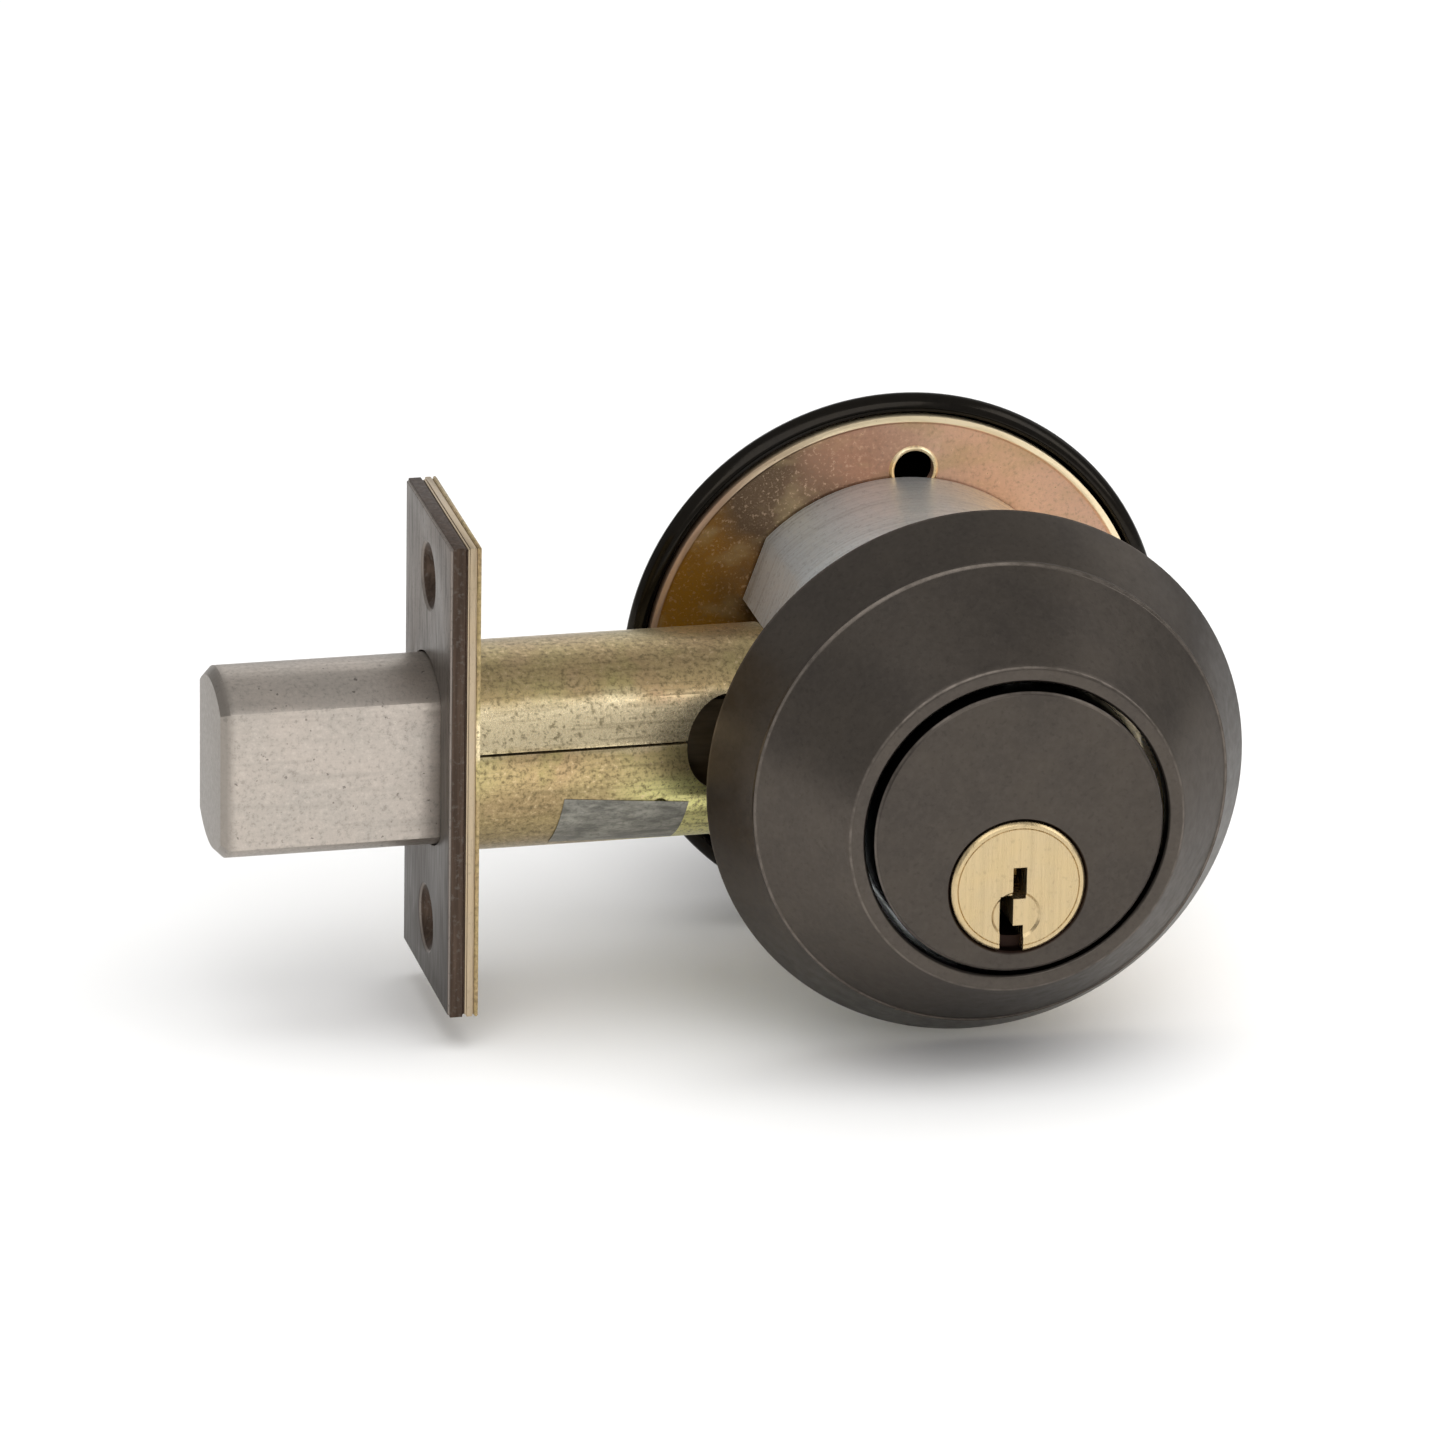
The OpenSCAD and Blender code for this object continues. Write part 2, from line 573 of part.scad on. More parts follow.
module mounting_plate() color("#c2a06a") difference() {
    union() {
        rod_y(plate_d / 2, half_door, plate_rear_y);
        block(-4, 4, half_door, tab_top_y, -tab_out_r, -tab_in_r);
    }
    on_plug_axis() rod_y(bushing_r + running_gap, half_door - 1, plate_rear_y + 1);
    for (side = [-1, 1]) {
        translate([0, 0, side * mount_radius])
            rod_y(mount_screw_d / 2 + 0.2, half_door - 1, plate_rear_y + 1);
        rotate([0, spare_turn, 0]) translate([0, 0, side * spare_radius])
            rod_y(spare_hole_d / 2, half_door - 1, plate_rear_y + 1);
    }
    translate([0, set_screw_y, -tab_out_r - 1]) cylinder(h = 6, r = set_screw_r);
}

module mounting_screws() color("#b9a45a") for (side = [-1, 1])
    translate([0, 0, side * mount_radius]) difference() {
        union() {
            rod_y(mount_screw_d / 2, mount_screw_end_y + 0.2, plate_rear_y);
            turned() polygon([[0, plate_rear_y], [screw_head_r, plate_rear_y],
                [screw_head_r, plate_rear_y + 1.2], [screw_head_r - 0.9, plate_rear_y + 2.1],
                [0, plate_rear_y + 2.1]]);
        }
        for (turn = [0, 90]) rotate([0, turn, 0]) slab(plate_rear_y + 0.8, plate_rear_y + 3)
            square([3.6, 0.8], center = true);
    }

module inside_rose() color("#2b2826") difference() {
    turned() polygon([[0, rose_front_y], [rose_r - 11, rose_front_y], [rose_r - 9, rose_front_y - 0.6],
        [rose_r - 1.4, half_door + 4], [rose_r, half_door + 2], [rose_r, half_door + 1],
        [rose_r - 1, half_door], [0, half_door]]);
    turned() polygon([[0, rose_front_y - rose_wall], [rose_r - 11, rose_front_y - rose_wall],
        [rose_r - 1.4 - rose_wall, half_door + 3.4], [rose_r - rose_wall, half_door + 2],
        [rose_r - rose_wall - 0.4, half_door - 1], [0, half_door - 1]]);
    on_plug_axis() rod_y(bushing_r + running_gap, half_door, rose_front_y + 1);
    translate([0, set_screw_y, -rose_r - 1]) cylinder(h = rose_wall + 4, r = set_screw_r);
}

module rose_set_screw() color("#3a3735") translate([0, set_screw_y, -set_screw_r_out]) difference() {
    cylinder(h = set_screw_r_out - tab_in_r, r = set_screw_r);
    translate([0, 0, -1]) cylinder(h = 2.2, r = 0.8, $fn = 6);
}

module thumbturn() color("#48423e") on_plug_axis() difference() {
    union() {
        turned() polygon([[0, grip_y], [grip_foot_r - 0.4, grip_y], [grip_foot_r, grip_y + 0.4],
            [grip_foot_r, grip_y + 1.4], [grip_boss_r, grip_y + grip_base_t],
            [grip_boss_r, socket_end_y], [grip_boss_r - 1, socket_end_y + 1], [0, socket_end_y + 1]]);
        slab(grip_y + grip_base_t - 1, grip_top_y) for (side = [-1, 1]) hull() {
            circle(r = grip_width * 0.34);
            translate([side * (grip_length - grip_width) / 2, 0]) circle(r = grip_width / 2, $fn = 32);
        }
    }
    rod_y(spindle_r, grip_y - 1, socket_end_y - 1);
    grip_pin_line() cylinder(h = grip_length, r = grip_pin_r);
}

// The roll pin's line, across the grip's boss along X
module grip_pin_line() translate([-grip_boss_r - 0.2, grip_pin_y, 0]) rotate([0, 90, 0]) children();

module grip_pin() color("#8b8e91") on_plug_axis() grip_pin_line()
    cylinder(h = 2 * grip_boss_r - 1, r = grip_pin_r);

module thumbturn_spindle() color("#9a9da0") on_plug_axis() difference() {
    rod_y(spindle_r, spindle_start_y, socket_end_y - 1);
    block(-tail_w / 2 - 0.15, tail_w / 2 + 0.15, spindle_start_y - 1, tail_end_y + 1,
        -tail_t / 2 - 0.15, tail_t / 2 + 0.15);
    difference() {
        rod_y(spindle_r + 1, clip_y, clip_y + clip_t);
        rod_y(clip_groove_r, clip_y - 1, clip_y + clip_t + 1);
    }
    grip_pin_line() cylinder(h = 2 * grip_boss_r, r = grip_pin_r);
}

module thumbturn_bushing() color("#e6e2d6") on_plug_axis() difference() {
    rod_y(bushing_r, half_door, rose_front_y + side_gap - axial_gap);
    rod_y(spindle_r + running_gap, half_door - 1, rose_front_y + 1);
}

module wave_washer() color("#b8bcc0") on_plug_axis() difference() {
    rod_y(bushing_r, clip_y + clip_t, half_door - axial_gap);
    rod_y(spindle_r, half_door - 4, half_door);
}

module retaining_clip() color("#6c7074") on_plug_axis() difference() {
    rod_y(spindle_r + 1.7, clip_y, clip_y + clip_t);
    rod_y(clip_groove_r, clip_y - 1, clip_y + clip_t + 1);
    block(-clip_groove_r * 0.8, clip_groove_r * 0.8, clip_y - 1, clip_y + clip_t + 1, 0, bolt_d);
}

outside_collar();
guard_ring();
collar_washer();
collar_retaining_ring();
cylinder_housing();
cylinder_shell();
cylinder_screws();
driver_pins();
pin_springs();
spring_cover();
plug();
key_pins();
plug_cap();
cap_screws();
tailpiece();
faceplate();
backing_plate();
bolt_tube();
foil_label();
outer_cheek();
inner_cheek();
case_posts();
cheek_rivets();
deadbolt();
anti_saw_roller();
roller_stop();
bolt_tail();
tail_rivet();
drive_pin();
crank();
mounting_plate();
mounting_screws();
inside_rose();
rose_set_screw();
thumbturn();
grip_pin();
thumbturn_spindle();
thumbturn_bushing();
wave_washer();
retaining_clip();
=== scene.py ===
"""Looks for a single-cylinder deadbolt: turned trim, plated case, brushed plug and studio."""
import json
import math
import bmesh
import bpy
from mathutils import Matrix, Vector

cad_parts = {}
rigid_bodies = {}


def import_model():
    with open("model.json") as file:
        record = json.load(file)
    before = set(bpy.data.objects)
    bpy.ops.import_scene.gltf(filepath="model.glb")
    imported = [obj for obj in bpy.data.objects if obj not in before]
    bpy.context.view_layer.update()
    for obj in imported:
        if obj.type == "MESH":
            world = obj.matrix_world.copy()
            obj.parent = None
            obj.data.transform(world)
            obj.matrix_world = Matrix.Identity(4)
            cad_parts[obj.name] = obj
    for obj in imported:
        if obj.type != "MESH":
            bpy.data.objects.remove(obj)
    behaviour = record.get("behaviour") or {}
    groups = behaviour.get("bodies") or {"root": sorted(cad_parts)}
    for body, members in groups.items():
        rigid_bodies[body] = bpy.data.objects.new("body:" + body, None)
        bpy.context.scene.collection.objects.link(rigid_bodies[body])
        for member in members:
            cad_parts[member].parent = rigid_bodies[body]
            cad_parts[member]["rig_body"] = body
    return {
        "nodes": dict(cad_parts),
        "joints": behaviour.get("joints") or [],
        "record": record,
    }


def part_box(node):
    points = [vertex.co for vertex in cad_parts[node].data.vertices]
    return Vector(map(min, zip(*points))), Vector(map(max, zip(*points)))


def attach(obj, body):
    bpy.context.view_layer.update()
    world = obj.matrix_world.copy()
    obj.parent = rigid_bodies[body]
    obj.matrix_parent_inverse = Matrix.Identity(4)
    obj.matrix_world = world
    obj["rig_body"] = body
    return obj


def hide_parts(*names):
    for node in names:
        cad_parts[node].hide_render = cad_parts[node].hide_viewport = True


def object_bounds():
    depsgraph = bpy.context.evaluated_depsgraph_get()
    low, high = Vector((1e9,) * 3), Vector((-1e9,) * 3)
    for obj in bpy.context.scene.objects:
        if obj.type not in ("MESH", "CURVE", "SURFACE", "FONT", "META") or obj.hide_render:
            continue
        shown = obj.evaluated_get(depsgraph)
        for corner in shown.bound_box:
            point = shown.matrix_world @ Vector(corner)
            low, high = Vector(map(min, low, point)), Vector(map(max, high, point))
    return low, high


bl_info = {
    "name": "Deadbolt Lock",
    "version": (1, 0, 0),
    "blender": (4, 5, 0),
    "location": "View3D > Sidebar > Deadbolt",
    "description": "Builds the detailed pieces and finishes of a deadbolt around its fixed frame",
    "category": "Object",
}

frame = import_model()
CAD_BOX = [list(corner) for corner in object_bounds()]
MM = 0.001
SLOTS = {row["node"]: row["material_slot"] for row in frame["record"]["subparts"]}
JOINTS = {joint["name"]: joint for joint in frame["joints"]}
PLUG_AXIS = Vector(JOINTS["plug_turn"]["pos_m"])
ALONG_Y = Vector((0, 1, 0))
ALONG_Z = Vector((0, 0, 1))
LATHE_STEPS = 160
SMALL_STEPS = 64
ROD_STEPS = 48
SHARP = math.radians(28)


class DeadboltSizes(bpy.types.PropertyGroup):
    """Small shapes that the frame leaves plain."""

    edge_round: bpy.props.FloatProperty(
        name="Edge rounding", description="Radius on the trim's edges",
        default=0.25 * MM, min=0.02 * MM, max=1 * MM, unit="LENGTH")
    plate_round: bpy.props.FloatProperty(
        name="Plate rounding", description="Radius on the edges of the thin plates",
        default=0.12 * MM, min=0.02 * MM, max=0.4 * MM, unit="LENGTH")
    band_height: bpy.props.FloatProperty(
        name="Collar band", description="Height of the collar's steep band next to the door",
        default=7.6 * MM, min=4 * MM, max=10 * MM, unit="LENGTH")
    band_inset: bpy.props.FloatProperty(
        name="Band lean", description="How far the collar's band leans in",
        default=4 * MM, min=1 * MM, max=6 * MM, unit="LENGTH")
    face_gap: bpy.props.FloatProperty(
        name="Face gap", description="Open ring between the cylinder's face and the collar",
        default=0.8 * MM, min=0.3 * MM, max=1.5 * MM, unit="LENGTH")
    front_land: bpy.props.FloatProperty(
        name="Front ring", description="Width of the collar's flat front ring",
        default=1.8 * MM, min=0.5 * MM, max=3 * MM, unit="LENGTH")
    collar_wall: bpy.props.FloatProperty(
        name="Collar wall", description="Wall of the collar",
        default=2.2 * MM, min=1 * MM, max=2.6 * MM, unit="LENGTH")
    ridge: bpy.props.FloatProperty(
        name="Crease step", description="Depth of the fine step at the collar's crease",
        default=0.16 * MM, min=0, max=0.4 * MM, unit="LENGTH")
    key_rest: bpy.props.FloatProperty(
        name="Key rest", description="Radius of the shallow seat milled round the keyway's mouth",
        default=2.9 * MM, min=1.5 * MM, max=3.2 * MM, unit="LENGTH")
    key_rest_depth: bpy.props.FloatProperty(
        name="Key rest depth", description="Depth of that seat",
        default=0.3 * MM, min=0.1 * MM, max=0.6 * MM, unit="LENGTH")
    rose_wall: bpy.props.FloatProperty(
        name="Rose wall", description="Wall of the inside rose",
        default=1.6 * MM, min=1 * MM, max=2 * MM, unit="LENGTH")
    tube_wall: bpy.props.FloatProperty(
        name="Tube wall", description="Wall of the bolt tube and its clearance over the bolt",
        default=1 * MM, min=0.5 * MM, max=2 * MM, unit="LENGTH")
    label_height: bpy.props.FloatProperty(
        name="Label height", description="Height of the blank label round the tube",
        default=8.4 * MM, min=3 * MM, max=9 * MM, unit="LENGTH")
    label_drop: bpy.props.FloatProperty(
        name="Label drop", description="Angle that the label lies below its place",
        default=math.radians(5.5), min=0, max=math.radians(12), unit="ROTATION")
    label_margin: bpy.props.FloatProperty(
        name="Label margin", description="How far the label's ends stop short of its place",
        default=1.1 * MM, min=0, max=3 * MM, unit="LENGTH")
    label_skew: bpy.props.FloatProperty(
        name="Label skew", description="How far askew the label was stuck on",
        default=math.radians(6), min=0, max=math.radians(15), unit="ROTATION")
    spare_radius: bpy.props.FloatProperty(
        name="Open hole place", description="Distance of the plate's open holes from the centre",
        default=23.5 * MM, min=20 * MM, max=27 * MM, unit="LENGTH")
    spare_turn: bpy.props.FloatProperty(
        name="Open hole turn", description="Turn of the open holes round the centre",
        default=math.radians(4.4), min=0, max=math.radians(15), unit="ROTATION")
    spare_hole: bpy.props.FloatProperty(
        name="Open hole", description="Radius of the plate's open holes",
        default=2.4 * MM, min=1 * MM, max=3 * MM, unit="LENGTH")
    lip_width: bpy.props.FloatProperty(
        name="Plate lip", description="Width of the mounting plate's raised lip",
        default=0.7 * MM, min=0.2 * MM, max=2 * MM, unit="LENGTH")
    lip_height: bpy.props.FloatProperty(
        name="Lip height", description="Height of that lip above the plate's field",
        default=0.3 * MM, min=0.05 * MM, max=0.6 * MM, unit="LENGTH")
    spring_turns: bpy.props.IntProperty(
        name="Spring turns", description="Turns in each pin spring", default=8, min=4, max=12)
    spring_wire: bpy.props.FloatProperty(
        name="Spring wire", description="Radius of the spring wire",
        default=0.16 * MM, min=0.05 * MM, max=0.3 * MM, unit="LENGTH")


def colour(label, note, value):
    """A colour property in linear light."""
    return bpy.props.FloatVectorProperty(
        name=label, description=note, default=value, subtype="COLOR", size=3, min=0, max=1)


class DeadboltColours(bpy.types.PropertyGroup):
    """The main colour of each finish."""

    dark_bronze: colour("Dark bronze", "Collar, cylinder face and thumbturn", (0.082, 0.070, 0.060))
    black_bronze: colour("Black bronze", "Inside rose", (0.015, 0.013, 0.011))
    face_bronze: colour("Faceplate bronze", "Faceplate", (0.196, 0.170, 0.150))
    backing_brass: colour("Backing brass", "Backing plate", (0.51, 0.41, 0.285))
    bolt_nickel: colour("Bolt nickel", "Deadbolt", (0.50, 0.448, 0.395))
    zinc_yellow: colour("Yellow zinc", "Bolt tube", (0.58, 0.445, 0.225))
    # Painted shade: the cheeks' near-black colour stands for the dark recess inside the tube.
    shaded_case_zinc: colour("Case zinc", "Cheeks inside the tube", (0.060, 0.043, 0.024))
    plate_zinc: colour("Iridescent zinc", "Mounting plate", (0.80, 0.53, 0.36))
    zinc_casting: colour("Zinc casting", "Housing", (0.74, 0.74, 0.72))
    plug_brass: colour("Plug brass", "Plug", (0.585, 0.455, 0.265))
    pin_brass: colour("Pin brass", "Pins and spring cover", (0.62, 0.43, 0.15))
    label_foil: colour("Label foil", "Blank label", (0.30, 0.29, 0.25))
    steel: colour("Steel", "Plain and hardened steel", (0.43, 0.44, 0.45))
    nylon: colour("Nylon", "Washer and bushing", (0.76, 0.73, 0.64))
    floor: colour("Floor", "Studio floor", (0.90, 0.897, 0.89))


def sizes():
    """The sizes set in the panel."""
    return bpy.context.scene.deadbolt_sizes


def colours():
    """The colours set in the panel."""
    return bpy.context.scene.deadbolt_colours


# ---- finishes ---------------------------------------------------------------------------------

class Finish:
    """A node-built metal or plastic that reads Object coordinates."""

    def __init__(self, name, metallic, specular=0.5, grazing=1.0):
        self.material = bpy.data.materials.new(name)
        self.material.use_nodes = True
        self.nodes = self.material.node_tree.nodes
        self.links = self.material.node_tree.links
        self.shader = self.nodes["Principled BSDF"]
        self.shader.inputs["Metallic"].default_value = metallic
        self.shader.inputs["Specular IOR Level"].default_value = specular
        self.shader.inputs["Specular Tint"].default_value = (grazing, grazing, grazing, 1)
        self.coords = self.nodes.new("ShaderNodeTexCoord").outputs["Object"]

    def stretched(self, scale, turn=(0, 0, 0)):
        """Object coordinates, scaled along each axis to draw a pattern out."""
        node = self.nodes.new("ShaderNodeMapping")
        node.inputs["Scale"].default_value = scale
        node.inputs["Rotation"].default_value = turn
        self.links.new(self.coords, node.inputs["Vector"])
        return node.outputs["Vector"]

    def noise(self, size_mm, detail=3, vector=None, rough=0.55, seed=0.0):
        """Noise whose blobs are about size_mm across."""
        node = self.nodes.new("ShaderNodeTexNoise")
        node.noise_dimensions = "4D"
        node.inputs["W"].default_value = seed
        node.inputs["Scale"].default_value = 1 / (size_mm * MM)
        node.inputs["Detail"].default_value = detail
        node.inputs["Roughness"].default_value = rough
        self.links.new(vector or self.coords, node.inputs["Vector"])
        return node.outputs["Fac"]

    def band(self, source, low, high, out_low=0.0, out_high=1.0):
        """source from low..high to out_low..out_high, clamped."""
        node = self.nodes.new("ShaderNodeMapRange")
        for label, value in zip(("From Min", "From Max", "To Min", "To Max"),
                                (low, high, out_low, out_high)):
            node.inputs[label].default_value = value
        self.links.new(source, node.inputs["Value"])
        return node.outputs["Result"]

    def maths(self, operation, a, b=None):
        """One sum; a and b are each a number or a socket."""
        node = self.nodes.new("ShaderNodeMath")
        node.operation = operation
        for socket, value in zip(node.inputs, (a, b)):
            if isinstance(value, (int, float)):
                socket.default_value = value
            elif value is not None:
                self.links.new(value, socket)
        return node.outputs[0]

    def axis(self, letter):
        """Place along X, Y or Z."""
        node = self.nodes.new("ShaderNodeSeparateXYZ")
        self.links.new(self.coords, node.inputs[0])
        return node.outputs[letter]

    def blend(self, amount, first, second):
        """first where amount is 0 and second where it is 1; each a colour or a socket."""
        node = self.nodes.new("ShaderNodeMix")
        node.data_type = "RGBA"
        self.links.new(amount, node.inputs["Factor"])
        for label, value in (("A", first), ("B", second)):
            socket = [s for s in node.inputs if s.name == label and s.type == "RGBA"][0]
            if isinstance(value, (tuple, list)):
                socket.default_value = (*value[:3], 1)
            else:
                self.links.new(value, socket)
        return [s for s in node.outputs if s.type == "RGBA"][0]

    def above(self, tone, source, low, high, amount, colour):
        """Lays colour over tone as source climbs from low to high, up to amount."""
        return self.blend(self.band(source, low, high, 0, amount), tone, colour)

    def below(self, tone, source, low, high, amount, colour):
        """Lays colour over tone as source falls from high to low, up to amount."""
        return self.blend(self.band(source, low, high, amount, 0), tone, colour)

    def radius(self, height=0.0):
        """Distance from an axis that runs along Y at a height."""
        rise = self.maths("SUBTRACT", self.axis("Z"), height)
        side = self.axis("X")
        squares = self.maths("ADD", self.maths("MULTIPLY", side, side),
                             self.maths("MULTIPLY", rise, rise))
        return self.maths("SQRT", squares)

    def away(self, measure, place):
        """Distance between a measure and a place, on either side of it."""
        return self.maths("ABSOLUTE", self.maths("SUBTRACT", measure, place))

    def wandering(self, measure, noise, reach):
        """The measure, pushed to and fro by the noise over a reach."""
        push = self.maths("MULTIPLY", self.maths("SUBTRACT", noise, 0.5), reach)
        return self.maths("ADD", measure, push)

    def highlight_line(self, measure, place, width, breakup):
        """A painted highlight line: 1 within width of a place along a measure, broken up by noise.
        """
        near = self.band(self.away(measure, place), width * 0.4, width, 1, 0)
        return self.maths("MULTIPLY", near, breakup)

    def bump(self, height, depth_mm, strength, below=None):
        """Relief of depth_mm, laid over another bump when below is given."""
        node = self.nodes.new("ShaderNodeBump")
        node.inputs["Strength"].default_value = strength
        node.inputs["Distance"].default_value = depth_mm * MM
        self.links.new(height, node.inputs["Height"])
        if below is not None:
            self.links.new(below, node.inputs["Normal"])
        return node.outputs["Normal"]

    def close(self, base, roughness, normal=None):
        """Wires the shader up and returns the material."""
        self.links.new(base, self.shader.inputs["Base Color"])
        self.links.new(roughness, self.shader.inputs["Roughness"])
        if normal is not None:
            self.links.new(normal, self.shader.inputs["Normal"])
        return self.material


def shade_of(base, factor, shift=(0, 0, 0)):
    """A lighter or darker colour, with a small shift of its hue."""
    return tuple(min(1.0, max(0.0, c * factor + s)) for c, s in zip(base, shift))


def satin_bronze(name, base, rough=0.34, metallic=0.9, rims=(), gap=None):
    """Sprayed satin bronze: faint clouds, fine grain and painted highlights along its rims.

    With gap, the two radii of the open ring, the ring is painted near-black as shade and a painted
    shadow rings the plug.
    """
    highlight_width = 0.17 * MM
    f = Finish(name, metallic, grazing=0.6)
    grain = f.noise(0.7, 3)
    tone = f.blend(f.band(f.noise(7, 3), 0.35, 0.65), shade_of(base, 0.93),
                   shade_of(base, 1.07, (0.002, 0.001, -0.001)))
    tone = f.above(tone, grain, 0.42, 0.66, 0.35, shade_of(base, 1.3))
    tone = f.above(tone, f.noise(0.55, 2, seed=5), 0.56, 0.68, 0.3, shade_of(base, 0.65))
    breakup = f.band(f.noise(1.3, 3, seed=4), 0.38, 0.6, 0.15, 0.8)
    # Painted highlight: a thin bright line along each rim, as if the edge caught the light.
    for rim in rims:
        rim_highlight = f.highlight_line(f.radius(), rim, highlight_width, breakup)
        tone = f.blend(rim_highlight, tone, shade_of(base, 2.0))
    # Painted shade: the open ring goes near-black, and a painted shadow darkens the face round the
    # plug.
    if gap:
        inner, outer = gap
        from_gap = f.away(f.radius(), (inner + outer) / 2)
        edge = (outer - inner) / 2
        tone = f.below(tone, from_gap, edge + 0.03 * MM, edge + 0.07 * MM, 1, shade_of(base, 0.04))
        bore = half_width("plug")
        tone = f.below(tone, f.radius(PLUG_AXIS.z), bore + 0.2 * MM, bore + 0.42 * MM, 0.9,
                       shade_of(base, 0.14, (0.006, -0.002, -0.003)))
    return f.close(tone, f.band(f.noise(1.6, 3, seed=2), 0.3, 0.7, rough - 0.05, rough + 0.06),
                   f.bump(grain, 0.012, 0.45))


def faceplate_bronze(name, base):
    """Rolled plate: taupe with some wear on the face towards the frame, painted darker towards the
    bottom as shade, with a painted highlight along its front edge; dark and streaked round its
    sides, partly their own finish and partly painted shade.
    """
    face_x = span("faceplate")[0].x
    shade_bottom, shade_top = -16 * MM, 18 * MM
    f = Finish(name, 0.85, grazing=0.7)
    drawn = f.noise(0.7, 3, f.stretched((1, 0.9, 0.12), (math.radians(38), 0, 0)))
    tone = f.blend(f.band(f.noise(6, 3), 0.3, 0.7), shade_of(base, 0.86), shade_of(base, 1.1))
    # Painted shade: the face darkens towards the bottom.
    tone = f.below(tone, f.axis("Z"), shade_bottom, shade_top, 0.95, shade_of(base, 0.42))
    tone = f.above(tone, drawn, 0.52, 0.7, 0.75, shade_of(base, 0.4))
    pits = f.band(f.noise(0.5, 3, seed=7), 0.55, 0.68, 0, 0.7)
    tone = f.blend(pits, tone, shade_of(base, 0.5))
    # The sides are darker and streaked, partly their own finish and partly painted shade.
    streak = f.noise(0.5, 3, f.stretched((1, 1, 0.04)), seed=3)
    side = f.blend(f.band(streak, 0.4, 0.65), shade_of(base, 0.27, (0.003, -0.008, -0.013)),
                   shade_of(base, 0.43, (0.007, -0.011, -0.019)))
    side = f.above(side, f.noise(0.5, 2, seed=8), 0.55, 0.7, 0.5, shade_of(base, 0.7))
    tone = f.above(tone, f.axis("X"), face_x + 0.1 * MM, face_x + 0.25 * MM, 1, side)
    # Painted highlight: a bright line along the face's front edge, broken by the pits.
    edge = f.highlight_line(f.axis("X"), face_x + 0.16 * MM, 0.14 * MM, f.band(pits, 0, 1, 0.8, 0.2))
    tone = f.blend(edge, tone, shade_of(base, 1.5))
    return f.close(tone, f.band(drawn, 0.3, 0.7, 0.32, 0.46), f.bump(drawn, 0.04, 0.5))


def blasted_nickel(name, base):
    """Bead-blasted nickel plate: pale and evenly gritty, with dark specks and painted shade on the
    nose.
    """
    nose_x = span("deadbolt")[0].x
    f = Finish(name, 0.92, grazing=0.75)
    grit = f.noise(0.55, 4, rough=0.7)
    tone = f.blend(f.band(f.noise(8, 2), 0.3, 0.7), shade_of(base, 0.93, (0, 0.004, 0.006)),
                   shade_of(base, 1.06, (0.012, 0.002, 0)))
    tone = f.above(tone, grit, 0.52, 0.66, 0.55, shade_of(base, 0.55))
    tone = f.below(tone, grit, 0.34, 0.46, 0.5, shade_of(base, 1.25))
    tone = f.above(tone, f.noise(0.9, 2, seed=9), 0.68, 0.71, 0.7, shade_of(base, 0.25))
    drawn = f.noise(0.9, 2, f.stretched((0.05, 1, 1)), seed=4)
    tone = f.above(tone, drawn, 0.5, 0.7, 0.35, shade_of(base, 0.7))
    # Painted shade: the nose is darkened to dim its reflection of the bright surroundings.
    tone = f.below(tone, f.axis("X"), nose_x + 0.6 * MM, nose_x + 1.7 * MM, 0.8,
                   shade_of(base, 0.5))
    return f.close(tone, f.band(grit, 0.3, 0.7, 0.27, 0.42), f.bump(grit, 0.035, 0.6))


def yellow_zinc(name, base):
    """Yellow passivated zinc: gold that drifts to green and rose, coarse grit and drawn lines, with
    a painted highlight band along its side and painted shade on its crown and underside.
    """
    band_height, band_core, band_reach, band_drift = 5.4 * MM, 1.8 * MM, 3.2 * MM, 4 * MM
    shade_foot, hub_foot, crown_start, crown = -3 * MM, -2 * MM, 8 * MM, 10.5 * MM
    hub_start, hub_full = -42 * MM, -34 * MM
    f = Finish(name, 0.92)
    height = f.axis("Z")
    hue = f.noise(6.5, 3, seed=5)
    grit = f.noise(0.6, 4, rough=0.75)
    drawn = f.noise(0.55, 3, f.stretched((0.05, 1, 1)))
    tone = f.blend(f.band(f.noise(11, 2), 0.38, 0.62), shade_of(base, 0.95, (0.03, -0.01, 0)),
                   shade_of(base, 1.05, (-0.02, 0.03, -0.01)))
    tone = f.above(tone, hue, 0.55, 0.7, 0.6, shade_of(base, 1.05, (0.08, 0.0, 0.07)))
    tone = f.below(tone, hue, 0.28, 0.42, 0.6, shade_of(base, 0.9, (-0.09, 0.03, -0.07)))
    # Painted highlight: a bright band along the tube's side where the front light would fall.
    from_band = f.away(f.wandering(height, hue, band_drift), band_height)
    band_highlight = f.band(from_band, band_core, band_reach, 0.92, 0)
    tone = f.blend(band_highlight, tone, shade_of(base, 1.9, (0.02, 0.0, 0.12)))
    # Painted shade on the tube's underside.
    tone = f.below(tone, height, shade_foot, 0, 0.75, shade_of(base, 0.62, (0.02, 0, 0)))
    hub_end = f.maths("MULTIPLY", f.band(f.axis("X"), hub_start, hub_full, 0, 0.85),
                      f.band(height, hub_foot, 0, 1, 0))
    tone = f.blend(hub_end, tone, shade_of(base, 1.6, (0.02, 0.2, 0.02)))
    tone = f.above(tone, drawn, 0.5, 0.7, 0.55, shade_of(base, 0.42))
    # Painted shade on the tube's crown.
    tone = f.above(tone, height, crown_start, crown, 0.5, shade_of(base, 0.5, (0.02, 0, 0)))
    tone = f.above(tone, grit, 0.5, 0.62, 0.8, shade_of(base, 0.33))
    tone = f.below(tone, grit, 0.33, 0.45, 0.6, shade_of(base, 1.35, (0.02, 0.02, 0.06)))
    rough = f.maths("SUBTRACT", f.band(grit, 0.3, 0.7, 0.24, 0.42),
                    f.maths("MULTIPLY", band_highlight, 0.05))
    return f.close(tone, rough, f.bump(drawn, 0.012, 0.3, f.bump(grit, 0.04, 0.6)))


